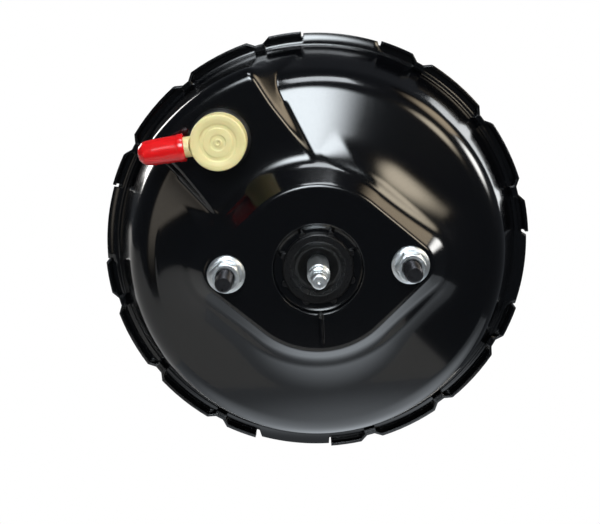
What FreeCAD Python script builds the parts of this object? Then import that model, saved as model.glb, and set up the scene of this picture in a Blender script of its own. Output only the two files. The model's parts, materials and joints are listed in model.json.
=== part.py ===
import FreeCAD, Part
import os
from math import acos, cos, hypot, pi, radians, sin, sqrt, tan
from FreeCAD import Vector

# Vacuum brake booster, sizes in millimetres.
# The booster's axis is Y: the master cylinder bolts on at the front (-Y) and the pedal pushes
# from the rear (+Y). X lies along the line of the two master cylinder studs and Z is up.
# The origin is the centre of the four firewall studs, on the rear face of the rear shell.

# Sheet and shells
SHEET = 1.5                # wall of both pressed shells
EDGE = 0.5                 # usual broken edge
SMALL_ROUND = 2.0          # corners rounded by less than this are cut as flat bevels
FRONT_SHELL_R = 101.3      # outside of the front shell's side wall where its flange starts
FRONT_SHELL_LENGTH = 56.5  # mounting face to the rear of the front shell's flange
REAR_SHELL_LENGTH = 45.5   # firewall face to the front of the rear shell's flange
BEAD = 3.0                 # thickness of the diaphragm bead clamped between the flanges
RIM_FILLET = 3.0

# Front dome, depths are measured back from the mounting face
DOME_DEPTH = 8.0           # flat middle of the dome, under the plateau
DOME_FLAT_R = 40.0
DOME_FLAT_ROUND = 30.0
SHOULDER_DEPTH = 22.0
SHOULDER_R = 88.9
SHOULDER_ROUND = 15.0

# Raised plateau for the master cylinder
STUD_SPACING = 85.7
PLATEAU_R = 39.5           # round part about the bore
PLATEAU_END_R = 10.6       # round ends about the studs
PLATEAU_ROUND = 3.0
PLATEAU_WALL_RUN = 17.1    # the wall's slope, drawn on to below the dome
PLATEAU_WALL_DROP = 18.0

# Raised flat boss for the check valve
BOSS_ANGLE = 125.5         # direction of the boss, from X towards Z
BOSS_DEPTH = 11.5
BOSS_LEFT = 22.7           # half widths of the flat on each side of the radial line
BOSS_RIGHT = 29.6
BOSS_LEFT_FLARE = 0.45     # how far each side leans out for each millimetre of depth
BOSS_RIGHT_FLARE = 0.7
BOSS_INNER = 20.0          # where the block starts, under the plateau
BOSS_OUTER = 115.0
BOSS_R = 97.0              # outer edge of the flat, from the booster's axis
BOSS_TAIL_INSET = 0.3      # boss's outer wall inside the shell's wall at the flange
BOSS_ROUND = 2.5
BOSS_EDGE_ROUND = 6.0

# Bore for the master cylinder and the drain groove under it
RECESS_R = 21.0
RECESS_DEPTH = 4.0
BORE_R = 15.0
GROOVE_R = 1.2
GROOVE_LENGTH = 14.0

# Twist-lock rim
RIM_POSITIONS = 16
RIM_PHASE = -9.5           # angle of the first gap's centre
LOBE_R = 107.6
DIP_R = 105.0
GAP_R = 105.3
GAP_HALF_ANGLE = 10.8
DIP_HALF_ANGLE = 1.1
DIP_RAMP_ANGLE = 2.0
RIM_HEIGHT = 6.5           # how far the rim wall stands forward of the rear shell's flange
FLANGE_GAP = 0.25          # front shell's flange edge to the inside of the dips
TAB_WIDTH = 6.0            # tabs bent in over the front shell's flange
TAB_REACH = 1.5
LUG_HALF_ANGLE = 6.5       # lugs of the front shell that stand in the rim's gaps
LUG_R = 106.2

# Rear shell
REAR_WALL_R = 97.5
REAR_FACE_R = 72.0
REAR_STEP = 6.0            # how far the shell falls away outside the firewall face
REAR_SHOULDER_ROUND = 14.0
NECK_R = 27.5
NECK_LENGTH = 24.0
NECK_LIP = 2.4
NECK_ROUND = 3.0

# Firewall studs and gasket
FIREWALL_X = 80.0
FIREWALL_Z = 60.0
STUD_R = 4.0               # M8 studs everywhere
SHOULDER_STUD_R = 5.0
STUD_HEAD_R = 7.5
STUD_HEAD = 3.0
STUD_HOLE_CLEARANCE = 0.1
FIREWALL_STUD_LENGTH = 24.0
STUD_CHAMFER = 0.8
PLATE = 2.5                # reinforcement plates
PLATE_EDGE = 13.0          # rear plate's edge beyond the stud centres, also its corner radius
FRONT_PLATE_INSET = 4.0
GASKET = 2.0
GASKET_HALF_X = 52.0
GASKET_HALF_Z = 42.0
GASKET_CORNER = 12.0
GASKET_STUD_HOLE_R = 6.0
GASKET_NECK_GAP = 1.5

# Master cylinder studs and nuts
FRONT_STUD_LENGTH = 21.0
NUT_FLAT = 13.0
NUT_HEIGHT = 8.0
NUT_FLANGE_R = 8.9
NUT_FLANGE = 1.6
NUT_THREAD_CLEARANCE = 0.03

# Front seal and its retainer
SEAL_CUP_LIP = 6.0         # how far the cup turns in behind the seal
SEAL_BACK = 8.0
SEAL_LIP_GAP = 0.05
RETAINER_R = 16.8
RETAINER_HOLE_R = 11.0
RETAINER_THICK = 3.0
RETAINER_LUGS = 8
RETAINER_LUG_R = 1.6

# Check valve
VALVE_R = 74.7             # distance of the valve from the booster's axis
VALVE_ANGLE = 124.5
VALVE_HOLE_R = 9.5
GROMMET_R = 14.4
GROMMET_FRONT = 2.6
GROMMET_REAR = 3.4
GROMMET_BORE_R = 6.6
VALVE_STEM_R = 6.5
VALVE_STEM_BORE_R = 4.6
VALVE_BARB_R = 7.9
VALVE_BODY_R = 12.9
VALVE_BODY_LENGTH = 10.4
VALVE_COVER = 2.8
VALVE_CHAMBER_R = 9.6
VALVE_WALL = 1.8
NIPPLE_ANGLE = 186.0
NIPPLE_R = 4.7
NIPPLE_RISE = 8.6          # nipple's axis in front of the body's back
NIPPLE_BORE_R = 2.8
NIPPLE_LENGTH = 34.0       # from the valve's axis to the nipple's end
NIPPLE_BARB_R = 5.2
CAP_R = 6.4
CAP_WALL = 1.0
CAP_START = 15.4           # from the valve's axis to the cap's open end
CAP_LENGTH = 23.5
FLAP_R = 7.6
FLAP_THICK = 1.4
FLAP_SEAT = 1.0
RUNNING_GAP = 0.05

# Power piston
HUB_R = 28.0
HUB_FRONT = -30.0          # places along the axis, from the firewall face
HUB_REAR = -8.0
NOSE_R = 17.0
NOSE_FRONT = -44.0
NECK_TUBE_R = 19.0
CUP_R = 13.6               # pocket for the output rod's head
CUP_FLOOR = -30.0
DISC_R = 12.0
DISC_THICK = 6.0
PLUNGER_BORE_R = 5.0
VALVE_BORE_R = 13.2
SEAT_Y = -7.0              # vacuum seat
SEAT_R = 10.8
SEAT_HEIGHT = 1.2
FILTER_BORE_R = 15.8
FILTER_BORE_FLOOR = 8.0
KEY_SLOT_WIDTH = 11.0
KEY_THICK = 3.0
KEY_LENGTH = 24.5          # from the axis to the key's outer end
KEY_FORK = 1.5
KEY_GAP = 0.15
KEY_Y = -16.0
PISTON_TRAVEL = 32.0
NECK_TUBE_SPARE = 2.0      # neck tube left behind the seal at full travel
PASSAGE_R = 2.2

# Diaphragm and its support plate
SUPPORT_R = 86.0
SUPPORT_SHEET = 1.2
SUPPORT_LIP = 7.0
SUPPORT_RISE = 3.0
RUBBER = 1.6
BEAD_INNER_R = 99.6
DIAPHRAGM_FOLD = 8.0
DIAPHRAGM_WALL_GAP = 0.6
GROOVE_FLOOR_R = 23.0
LAYER_GAP = 0.3

# Output rod
ROD_TIP_REACH = 25.5       # tip ahead of the mounting face
ROD_R = 5.2
ROD_HEAD = 3.0
SCREW_R = 3.95
SCREW_HEAD_LENGTH = 11.0
SCREW_FLAT = 6.6
SCREW_THREAD_R = 2.5
SCREW_THREAD_LENGTH = 14.0
SCREW_COLLAR = 2.2
ROD_CLIP = 1.2

# Plunger, poppet valve and pedal rod
PLUNGER_GAP = 0.06
PLUNGER_HEAD_R = 7.4
PLUNGER_HEAD = 3.0
HEAD_ROOM = 4.2            # depth of the hub's pocket for the plunger's head
PLUNGER_TRAVEL = 2.0
KEY_GROOVE_R = 3.2
SOCKET_REAR = 3.0
BALL_R = 4.0
BALL_GAP = 0.05
BALL_Y = -0.6
POPPET_HOLE_R = 6.0
POPPET_R = 12.4
POPPET_THICK = 2.0
POPPET_TRAVEL = 0.8
POPPET_WALL = 1.0
POPPET_SLEEVE = 4.0
BELLOWS_WALL = 0.8
POPPET_RING = 4.0
PEDAL_ROD_R = 4.5
PEDAL_ROD_COLLAR_R = 11.5
PEDAL_ROD_COLLAR = 2.0
PEDAL_ROD_COLLAR_Y = 22.0
PEDAL_EYE_Y = 142.0
PEDAL_EYE_R = 11.0
PEDAL_EYE_WIDTH = 10.0
PEDAL_BUSH_R = 6.5
PEDAL_PIN_R = 5.0
BUSH_LIP = 1.5
BUSH_LIP_THICK = 1.0
FILTER_THICK = 7.0
SILENCER_THICK = 4.0
FILTER_HOLE_R = 7.4
FILTER_CAP = 1.5

# Springs
MAIN_WIRE = 3.6
MAIN_SPRING_R = 31.5
MAIN_COILS = 5
POPPET_WIRE = 1.0
POPPET_COILS = 4
RETURN_WIRE = 1.4
RETURN_COILS = 4
VALVE_WIRE = 0.6
VALVE_COILS = 3
SPRING_GAP = 0.3
WIRE_SIDES = 6

# Rear seal, bearing and dust boot
BEARING_WIDTH = 7.0
REAR_SEAL_WIDTH = 6.0
SEAL_RING = 1.5
PRESS_GAP = 0.02
BOOT_WALL = 1.4
BOOT_FOLDS = 5
BOOT_TAPER = 1.6           # above one the boot stays wide round the neck tube, then narrows
BOOT_FOLD_DEPTH = 4.5
BOOT_FRONT_Y = 8.0
BOOT_REAR_Y = 110.0
BOOT_LIP = 7.0

# Planes and places that follow from the sizes above
REAR_FLANGE_Y = -REAR_SHELL_LENGTH
FRONT_FLANGE_Y = REAR_FLANGE_Y - BEAD
FACE_Y = FRONT_FLANGE_Y - FRONT_SHELL_LENGTH
HALF_SPACING = STUD_SPACING / 2
RIM_FRONT_Y = REAR_FLANGE_Y - RIM_HEIGHT
PITCH_ANGLE = 360.0 / RIM_POSITIONS
PLUNGER_FRONT = CUP_FLOOR + DISC_THICK + PLUNGER_TRAVEL + LAYER_GAP
NECK_TUBE_REAR = NECK_LENGTH + PISTON_TRAVEL + NECK_TUBE_SPARE
CLEAR = 30.0               # reach of cutting tools beyond the metal
FRONT_AXIS = Vector(0, -1, 0)
REAR_AXIS = Vector(0, 1, 0)
ORIGIN = Vector(0, 0, 0)


# Profiles with rounded corners

def rounding(before, corner, after, radius):
    """Start, middle and end of the arc that rounds a corner, held inside its two sides."""
    ax, ay = before[0] - corner[0], before[1] - corner[1]
    bx, by = after[0] - corner[0], after[1] - corner[1]
    la, lb = hypot(ax, ay), hypot(bx, by)
    ax, ay, bx, by = ax / la, ay / la, bx / lb, by / lb
    half = acos(max(-1.0, min(1.0, ax * bx + ay * by))) / 2
    reach = min(radius / tan(half), 0.49 * la, 0.49 * lb)
    radius = reach * tan(half)
    mx, my = ax + bx, ay + by
    size = hypot(mx, my)
    centre_reach = radius / sin(half)
    cx, cy = corner[0] + mx / size * centre_reach, corner[1] + my / size * centre_reach
    middle = (cx - mx / size * radius, cy - my / size * radius)
    start = (corner[0] + ax * reach, corner[1] + ay * reach)
    end = (corner[0] + bx * reach, corner[1] + by * reach)
    return start, middle, end


def outline(points, place, closed=True):
    """Edges through corners given as (a, b) or (a, b, rounding radius)."""
    count = len(points)
    stops = []
    for i, point in enumerate(points):
        open_end = not closed and i in (0, count - 1)
        if len(point) < 3 or point[2] <= 0 or open_end:
            stops.append((point[:2], None, point[:2]))
        else:
            stops.append(rounding(points[i - 1], point, points[(i + 1) % count], point[2]))
    edges = []
    for i, (start, middle, end) in enumerate(stops):
        if middle and points[i][2] < SMALL_ROUND:
            edges.append(Part.makeLine(place(*start), place(*end)))
        elif middle:
            edges.append(Part.Arc(place(*start), place(*middle), place(*end)).toShape())
        if closed or i + 1 < count:
            following = stops[(i + 1) % count][0]
            if hypot(following[0] - end[0], following[1] - end[1]) > 1e-6:
                edges.append(Part.makeLine(place(*end), place(*following)))
    return edges


def shifted(points, distance, closed=False):
    """The corners moved to the left of the path by a distance, with roundings that follow."""
    count = len(points)
    sides = []
    for i in range(count):
        a, b = points[i], points[(i + 1) % count]
        length = hypot(b[0] - a[0], b[1] - a[1]) or 1.0
        sides.append(((b[0] - a[0]) / length, (b[1] - a[1]) / length))
    moved = []
    for i, point in enumerate(points):
        before = sides[i - 1] if closed or i > 0 else sides[i]
        after = sides[i] if closed or i < count - 1 else sides[i - 1]
        share = 1 + before[0] * after[0] + before[1] * after[1]
        x = point[0] - (before[1] + after[1]) / share * distance
        y = point[1] + (before[0] + after[0]) / share * distance
        turn = before[0] * after[1] - before[1] * after[0]
        radius = point[2] if len(point) > 2 else 0.0
        if radius > 0:
            radius = max(radius - distance if turn > 0 else radius + distance, 0.1)
        moved.append((x, y, radius))
    return moved


def in_radius(r, y):
    """A profile point at a radius from the booster's axis and a place along it."""
    return Vector(r, y, 0)


def face_of(points, place=in_radius):
    return Part.Face(Part.Wire(outline(points, place)))


def strip_face(points, thickness, place=in_radius):
    """A sheet's section: the path of its outer side and the same path set in by the thickness."""
    inner = shifted(points, thickness)
    outer_edges = outline(points, place, closed=False)
    inner_edges = outline(inner[::-1], place, closed=False)
    tip = Part.makeLine(place(*points[-1][:2]), place(*inner[-1][:2]))
    root = Part.makeLine(place(*inner[0][:2]), place(*points[0][:2]))
    return Part.Face(Part.Wire(outer_edges + [tip] + inner_edges + [root]))


def turned(points):
    """A solid of revolution about the booster's axis."""
    return face_of(points).revolve(ORIGIN, REAR_AXIS, 360)


def turned_sheet(points, thickness):
    return strip_face(points, thickness).revolve(ORIGIN, REAR_AXIS, 360)


def ring(inner_r, outer_r, y0, y1, corner=0.0):
    """A plain ring, or a disc where the inner radius is nought."""
    edge = min(corner, 0.45 * (outer_r - inner_r), 0.45 * abs(y1 - y0))
    inner_edge = edge if inner_r > 0 else 0.0
    return turned([(inner_r, y0, inner_edge), (outer_r, y0, edge),
                   (outer_r, y1, edge), (inner_r, y1, inner_edge)])


def rod(radius, start, end):
    """A round bar between two points."""
    line = end - start
    return Part.makeCylinder(radius, line.Length, start, line)


def moved(shape, offset):
    copy = shape.copy()
    copy.translate(offset)
    return copy


def polar(radius, angle, y):
    """A point at an angle from X towards Z."""
    a = radians(angle)
    return Vector(radius * cos(a), y, radius * sin(a))


def prism(corners, y0, y1):
    """A straight prism along Y over corners given as (x, z) with optional rounding."""
    base = Part.Face(Part.Wire(outline(corners, lambda x, z: Vector(x, y0, z))))
    return base.extrude(Vector(0, y1 - y0, 0))


def hexagon(across_flats, y0, y1, turn=0.0):
    corner_r = across_flats / sqrt(3)
    points = []
    for i in range(6):
        a = radians(60 * i + turn)
        points.append((corner_r * cos(a), corner_r * sin(a)))
    return prism(points, y0, y1)


def spring(radius, wire, y0, y1, coils):
    """A coil spring between two planes, its many-sided wire touching both."""
    low, high = y0 + wire / 2, y1 - wire / 2
    helix = Part.makeHelix((high - low) / coils, high - low, radius)
    corners = []
    for i in range(WIRE_SIDES):
        a = 2 * pi * (i + 0.5) / WIRE_SIDES
        corners.append(Vector(radius + wire / 2 * cos(a), 0, wire / 2 * sin(a)))
    profile = Part.makePolygon(corners + [corners[0]])
    coil = Part.Wire(helix).makePipeShell([profile], True, True)
    coil.rotate(ORIGIN, Vector(1, 0, 0), -90)
    return moved(coil, Vector(0, low, 0))


# Front shell

def plateau_normal():
    """Angle of the straight sides' normal from the stud line."""
    return acos((PLATEAU_R - PLATEAU_END_R) / HALF_SPACING)


def plateau_wire(offset, y):
    """The two-stud diamond, widened by an offset, at a place along the axis."""
    beta = plateau_normal()
    round_r, end_r = PLATEAU_R + offset, PLATEAU_END_R + offset

    def at(cx, radius, angle):
        return Vector(cx + radius * cos(angle), y, radius * sin(angle))

    def arc(cx, radius, a0, a1):
        return Part.Arc(at(cx, radius, a0), at(cx, radius, (a0 + a1) / 2), at(cx, radius, a1)).toShape()

    right = arc(HALF_SPACING, end_r, -beta, beta)
    top = arc(0, round_r, beta, pi - beta)
    left = arc(-HALF_SPACING, end_r, pi - beta, pi + beta)
    bottom = arc(0, round_r, pi + beta, 2 * pi - beta)
    arcs = [right, top, left, bottom]
    edges = []
    for i, edge in enumerate(arcs):
        edges.append(edge)
        edges.append(Part.makeLine(edge.Vertexes[-1].Point, arcs[(i + 1) % 4].Vertexes[0].Point))
    return Part.Wire(edges)


def plateau_outline(offset, y0, y1):
    """A straight prism over the plateau's outline."""
    return Part.Face(plateau_wire(offset, y0)).extrude(Vector(0, y1 - y0, 0))


def plug_of(path, inset):
    """A solid of revolution under a path that runs from the axis out to the flange."""
    skin = shifted(path, inset)
    rear_y = FRONT_FLANGE_Y + inset
    return turned(skin + [(skin[-1][0], rear_y), (0, rear_y)])


def dome_plug(inset):
    """A flat middle, a cone back to the shoulder and the tapered side wall."""
    flat_y = FACE_Y + DOME_DEPTH
    return plug_of([(0, flat_y), (DOME_FLAT_R, flat_y, DOME_FLAT_ROUND),
                    (SHOULDER_R, FACE_Y + SHOULDER_DEPTH, SHOULDER_ROUND),
                    (FRONT_SHELL_R, FRONT_FLANGE_Y)], inset)


def plateau_block(inset):
    """The plateau with its rounded edge and sloping wall, run on to below the dome."""
    path = shifted([(-PLATEAU_END_R / 2, 0), (0, 0, PLATEAU_ROUND),
                    (PLATEAU_WALL_RUN, PLATEAU_WALL_DROP)], inset)
    stops = [*rounding(*path, path[1][2]), path[-1]]
    return Part.makeLoft([plateau_wire(stop[0], FACE_Y + stop[1]) for stop in stops], True, True)


def boss_prism(inset):
    """The space between the boss's leaning sides, below its flat front."""
    top, rear_y = FACE_Y + BOSS_DEPTH, FRONT_FLANGE_Y + inset
    height = rear_y - top
    sides = shifted([(-BOSS_RIGHT - BOSS_RIGHT_FLARE * height, rear_y), (-BOSS_RIGHT, top, BOSS_ROUND),
                     (BOSS_LEFT, top, BOSS_ROUND), (BOSS_LEFT + BOSS_LEFT_FLARE * height, rear_y)], inset)
    a = radians(BOSS_ANGLE)
    out = Vector(cos(a), 0, sin(a))

    def place(across, y):
        return Vector(BOSS_INNER * cos(a) - across * sin(a), y, BOSS_INNER * sin(a) + across * cos(a))

    return face_of(sides, place).extrude(out * (BOSS_OUTER - BOSS_INNER))


def boss_block(inset):
    """The valve's boss: a plug with a flat front, kept between the two leaning sides."""
    top = FACE_Y + BOSS_DEPTH
    tail_r = FRONT_SHELL_R - BOSS_TAIL_INSET
    plug = plug_of([(0, top), (BOSS_R, top, BOSS_EDGE_ROUND), (tail_r, FRONT_FLANGE_Y)], inset)
    return plug.common(boss_prism(inset))


def front_form(inset):
    """The front shell as a solid plug, its skin set in by a distance."""
    form = dome_plug(inset).fuse([plateau_block(inset), boss_block(inset)])
    recess = ring(0, RECESS_R + inset, FACE_Y - CLEAR, FACE_Y + RECESS_DEPTH + inset)
    return form.cut(recess)


def valve_centre(y):
    return polar(VALVE_R, VALVE_ANGLE, y)


def stud_places():
    """The two master cylinder studs on the mounting face."""
    return [Vector(-HALF_SPACING, FACE_Y, 0), Vector(HALF_SPACING, FACE_Y, 0)]


def gap_angles():
    return [RIM_PHASE + PITCH_ANGLE * i for i in range(0, RIM_POSITIONS, 4)]


def dip_angles():
    return [RIM_PHASE + PITCH_ANGLE * i for i in range(RIM_POSITIONS) if i % 4]


def sector(half_angle, angle, inner_r, outer_r, y0, y1):
    """A block between two radii and two angles."""
    low, high = angle - half_angle, angle + half_angle

    def arc(radius, a0, a1):
        middle = polar(radius, (a0 + a1) / 2, y0)
        return Part.Arc(polar(radius, a0, y0), middle, polar(radius, a1, y0)).toShape()

    edges = [arc(outer_r, low, high), Part.makeLine(polar(outer_r, high, y0), polar(inner_r, high, y0)),
             arc(inner_r, high, low), Part.makeLine(polar(inner_r, low, y0), polar(outer_r, low, y0))]
    return Part.Face(Part.Wire(edges)).extrude(Vector(0, y1 - y0, 0))


def flange_r():
    """Edge of the front shell's flange, just inside the rim's dips."""
    return DIP_R - SHEET - FLANGE_GAP


def front_flange():
    """The front shell's flange with a lug in each gap of the rim."""
    front, back = FRONT_FLANGE_Y - SHEET, FRONT_FLANGE_Y
    disc = ring(FRONT_SHELL_R - SHEET, flange_r(), front, back)
    lugs = [sector(LUG_HALF_ANGLE, a, FRONT_SHELL_R - SHEET / 2, LUG_R, front, back) for a in gap_angles()]
    return disc.fuse(lugs)


def bolt_hole(place, radius):
    """A cutter along the booster's axis, long enough to pass any plate at the place."""
    return rod(radius, place - REAR_AXIS * CLEAR, place + REAR_AXIS * CLEAR)


def front_shell():
    """Pressed dome with the plateau, valve boss, bore recess and drain groove."""
    shell = front_form(0).fuse(front_flange())
    mouth = ring(0, FRONT_SHELL_R - SHEET, FRONT_FLANGE_Y - SHEET, 0)
    shell = shell.cut(front_form(SHEET).fuse(mouth))
    holes = [bolt_hole(p, STUD_R + STUD_HOLE_CLEARANCE) for p in stud_places()]
    holes.append(ring(0, BORE_R, FACE_Y - CLEAR, FACE_Y + CLEAR))
    holes.append(rod(VALVE_HOLE_R, valve_centre(FACE_Y), valve_centre(FACE_Y + CLEAR)))
    groove_start = Vector(0, FACE_Y, -RECESS_R + 1)
    holes.append(rod(GROOVE_R, groove_start, groove_start - Vector(0, 0, GROOVE_LENGTH)))
    return shell.cut(holes).removeSplitter()


# Rear shell

def rim_radii(inset):
    """The rim's outline as (angle, radius) stops, lobes between the dips and gaps."""
    lobe, dip = LOBE_R - inset, DIP_R - inset
    stops = []
    for angle in dip_angles():
        ramp = DIP_HALF_ANGLE + DIP_RAMP_ANGLE
        stops += [(angle - ramp, lobe), (angle - DIP_HALF_ANGLE, dip),
                  (angle + DIP_HALF_ANGLE, dip), (angle + ramp, lobe)]
    return stops


def rim_plug(inset, y0, y1):
    """A prism with the rim's scalloped outline."""
    stops = rim_radii(inset)
    edges = []
    for (a0, r0), (a1, r1) in zip(stops, stops[1:] + [(stops[0][0] + 360, stops[0][1])]):
        if abs(r0 - r1) < 1e-9:
            middle = polar(r0, (a0 + a1) / 2, y0)
            edges.append(Part.Arc(polar(r0, a0, y0), middle, polar(r1, a1, y0)).toShape())
        else:
            edges.append(Part.makeLine(polar(r0, a0, y0), polar(r1, a1, y0)))
    return Part.Face(Part.Wire(edges)).extrude(Vector(0, y1 - y0, 0))


def scalloped_rim():
    """Rim wall with dips, four open gaps and tabs bent in over the front shell's flange."""
    base_y = REAR_FLANGE_Y + SHEET
    wall = rim_plug(0, RIM_FRONT_Y, base_y).cut(rim_plug(SHEET, RIM_FRONT_Y - 1, REAR_FLANGE_Y))
    wall = wall.cut(ring(0, REAR_WALL_R, REAR_FLANGE_Y - CLEAR, base_y + CLEAR))
    beyond_r = LOBE_R + CLEAR
    cutters = []
    for angle in gap_angles():
        cutters.append(sector(GAP_HALF_ANGLE, angle, REAR_WALL_R, beyond_r, RIM_FRONT_Y - 1, REAR_FLANGE_Y))
        cutters.append(sector(GAP_HALF_ANGLE, angle, GAP_R, beyond_r, RIM_FRONT_Y - 1, base_y + 1))
    return wall.cut(cutters).fuse(rim_tabs())


def rim_tabs():
    inner_r = DIP_R - SHEET - TAB_REACH
    half = TAB_WIDTH / 2 / DIP_R * 180 / pi
    back = FRONT_FLANGE_Y - SHEET - LAYER_GAP
    front = back - SHEET
    return [sector(half, a, inner_r, DIP_R - SHEET / 2, front, back) for a in dip_angles()]


def rear_shell_path():
    """Outer side of the rear shell from the neck's lip to the flange."""
    return [(NECK_R - NECK_LIP - SHEET, NECK_LENGTH), (NECK_R, NECK_LENGTH, NECK_ROUND),
            (NECK_R, 0, NECK_ROUND), (REAR_FACE_R, 0, 8.0),
            (REAR_FACE_R + REAR_STEP, -REAR_STEP, 8.0),
            (REAR_WALL_R - 1.5, -REAR_STEP - 3.0, REAR_SHOULDER_ROUND),
            (REAR_WALL_R, REAR_FLANGE_Y + SHEET, RIM_FILLET), (DIP_R - SHEET - 1.0, REAR_FLANGE_Y + SHEET)]


def rear_shell():
    """Pressed bowl with its neck, flange and twist-lock rim."""
    shell = turned_sheet(rear_shell_path(), -SHEET).fuse(scalloped_rim())
    holes = [bolt_hole(p, SHOULDER_STUD_R + STUD_HOLE_CLEARANCE) for p in firewall_stud_places()]
    return shell.cut(holes).removeSplitter()


def firewall_stud_places():
    return [Vector(sx * FIREWALL_X / 2, 0, sz * FIREWALL_Z / 2) for sx in (-1, 1) for sz in (-1, 1)]


def rounded_plate(half_x, half_z, corner, y0, y1):
    """A flat plate with four equal round corners."""
    corners = [(-half_x, -half_z, corner), (half_x, -half_z, corner), (half_x, half_z, corner),
               (-half_x, half_z, corner)]
    return prism(corners, y0, y1)


def rear_plate():
    """Reinforcement plate inside the rear shell, with the four stud holes."""
    front, back = -SHEET - PLATE, -SHEET
    plate = rounded_plate(FIREWALL_X / 2 + PLATE_EDGE, FIREWALL_Z / 2 + PLATE_EDGE, PLATE_EDGE, front, back)
    hole = bolt_hole(ORIGIN, NECK_R + NECK_ROUND)
    studs = [bolt_hole(p, SHOULDER_STUD_R + STUD_HOLE_CLEARANCE) for p in firewall_stud_places()]
    return plate.cut([hole] + studs)


def firewall_stud(place):
    """Stud with a head inside, a shoulder through plate and shell, and a threaded end."""
    head_back = -SHEET - PLATE
    path = [(0, head_back - STUD_HEAD), (STUD_HEAD_R, head_back - STUD_HEAD, EDGE), (STUD_HEAD_R, head_back),
            (SHOULDER_STUD_R, head_back), (SHOULDER_STUD_R, 0), (STUD_R, 0),
            (STUD_R, FIREWALL_STUD_LENGTH - STUD_CHAMFER),
            (STUD_R - STUD_CHAMFER, FIREWALL_STUD_LENGTH), (0, FIREWALL_STUD_LENGTH)]
    return moved(turned(path), place)


def gasket():
    """Pad between the rear shell and the firewall, open round the neck and the studs."""
    pad = rounded_plate(GASKET_HALF_X, GASKET_HALF_Z, GASKET_CORNER, 0, GASKET)
    holes = [bolt_hole(p, GASKET_STUD_HOLE_R) for p in firewall_stud_places()]
    holes.append(bolt_hole(ORIGIN, NECK_R + NECK_ROUND + GASKET_NECK_GAP))
    return pad.cut(holes)


# Master cylinder mounting

def front_plate():
    """Reinforcement plate behind the plateau, drawn into a cup that holds the front seal."""
    front = FACE_Y + SHEET
    plate = plateau_outline(-FRONT_PLATE_INSET, front, front + PLATE)
    cup_r = RECESS_R + SHEET + LAYER_GAP
    holes = [bolt_hole(p, SHOULDER_STUD_R + STUD_HOLE_CLEARANCE) for p in stud_places()]
    holes.append(ring(0, cup_r, front - 1, front + PLATE + 1))
    cup_back = FACE_Y + SEAL_BACK + RECESS_DEPTH + SHEET + LAYER_GAP
    cup = turned_sheet([(cup_r, front), (cup_r, cup_back, 1.9), (cup_r - SEAL_CUP_LIP, cup_back)], -SHEET)
    return plate.cut(holes).fuse(cup)


def front_stud(place):
    """Stud with a head behind the reinforcement plate."""
    plate_back = FACE_Y + SHEET + PLATE
    tip = FACE_Y - FRONT_STUD_LENGTH
    path = [(0, plate_back + STUD_HEAD), (STUD_HEAD_R, plate_back + STUD_HEAD, EDGE),
            (STUD_HEAD_R, plate_back), (SHOULDER_STUD_R, plate_back), (SHOULDER_STUD_R, FACE_Y + SHEET),
            (STUD_R, FACE_Y + SHEET), (STUD_R, tip + STUD_CHAMFER), (STUD_R - STUD_CHAMFER, tip), (0, tip)]
    return moved(turned(path), place - Vector(0, FACE_Y, 0))


def flange_nut(place):
    """Hexagon nut with a round flange, seated on the mounting face."""
    seat = FACE_Y
    top = seat - NUT_HEIGHT
    skirt = turned([(0, seat), (NUT_FLANGE_R, seat), (NUT_FLANGE_R, seat - NUT_FLANGE * 0.6, 0.3),
                    (NUT_FLAT / 2, seat - 2 * NUT_FLANGE), (0, seat - 2 * NUT_FLANGE)])
    crown = turned([(0, seat), (NUT_FLAT / sqrt(3) + 0.1, seat), (NUT_FLAT / sqrt(3) + 0.1, top + 1.0),
                    (NUT_FLAT / 2, top), (0, top)])
    body = hexagon(NUT_FLAT, top, seat, 30).common(crown).fuse(skirt)
    bore = ring(0, STUD_R + NUT_THREAD_CLEARANCE, top - 1, seat + 1)
    return moved(body.cut(bore), place - Vector(0, FACE_Y, 0))


def front_seal():
    """Rubber cone that closes on the output rod."""
    seat = FACE_Y + RECESS_DEPTH + SHEET
    back = seat + SEAL_BACK
    outer = RECESS_R + SHEET
    lip_r = ROD_R + SEAL_LIP_GAP
    return turned([(BORE_R - 0.3, seat - SHEET), (BORE_R - 0.3, seat), (outer, seat, EDGE),
                   (outer, back, 1.9), (lip_r, back - 1.0, 0.4), (lip_r, back - 3.5, 0.4),
                   (RETAINER_HOLE_R - 1.5, seat - SHEET, 0.6)])


def seal_retainer():
    """Plastic ring in the recess, with small lugs round its front edge."""
    back = FACE_Y + RECESS_DEPTH
    front = back - RETAINER_THICK
    body = turned([(RETAINER_HOLE_R, back), (RETAINER_R, back), (RETAINER_R, front, 0.8),
                   (RETAINER_HOLE_R + 1.8, front, 0.6), (RETAINER_HOLE_R, front + 1.6)])
    lugs = []
    for i in range(RETAINER_LUGS):
        spot = polar(RETAINER_R, 360.0 * (i + 0.5) / RETAINER_LUGS, back)
        lugs.append(rod(RETAINER_LUG_R, spot, spot + FRONT_AXIS * (RETAINER_THICK * 0.7)))
    return body.fuse(lugs)


# Check valve, built on the booster's axis and then moved to its place

def boss_y():
    """Front face of the boss."""
    return FACE_Y + BOSS_DEPTH


def grommet():
    front, back = boss_y(), boss_y() + SHEET
    return turned([(GROMMET_BORE_R, front - GROMMET_FRONT, EDGE), (GROMMET_R - 1.2, front - GROMMET_FRONT, 0.8),
                   (GROMMET_R, front - LAYER_GAP), (VALVE_HOLE_R, front - LAYER_GAP),
                   (VALVE_HOLE_R - LAYER_GAP, front), (VALVE_HOLE_R - LAYER_GAP, back),
                   (VALVE_HOLE_R + 1.8, back + 0.2, 0.4), (VALVE_HOLE_R, back + GROMMET_REAR, 1.0),
                   (GROMMET_BORE_R, back + GROMMET_REAR, EDGE)])


def body_back_y():
    """Rear face of the check valve's body, on the grommet."""
    return boss_y() - GROMMET_FRONT - LAYER_GAP


def body_front_y():
    return body_back_y() - VALVE_BODY_LENGTH


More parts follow.
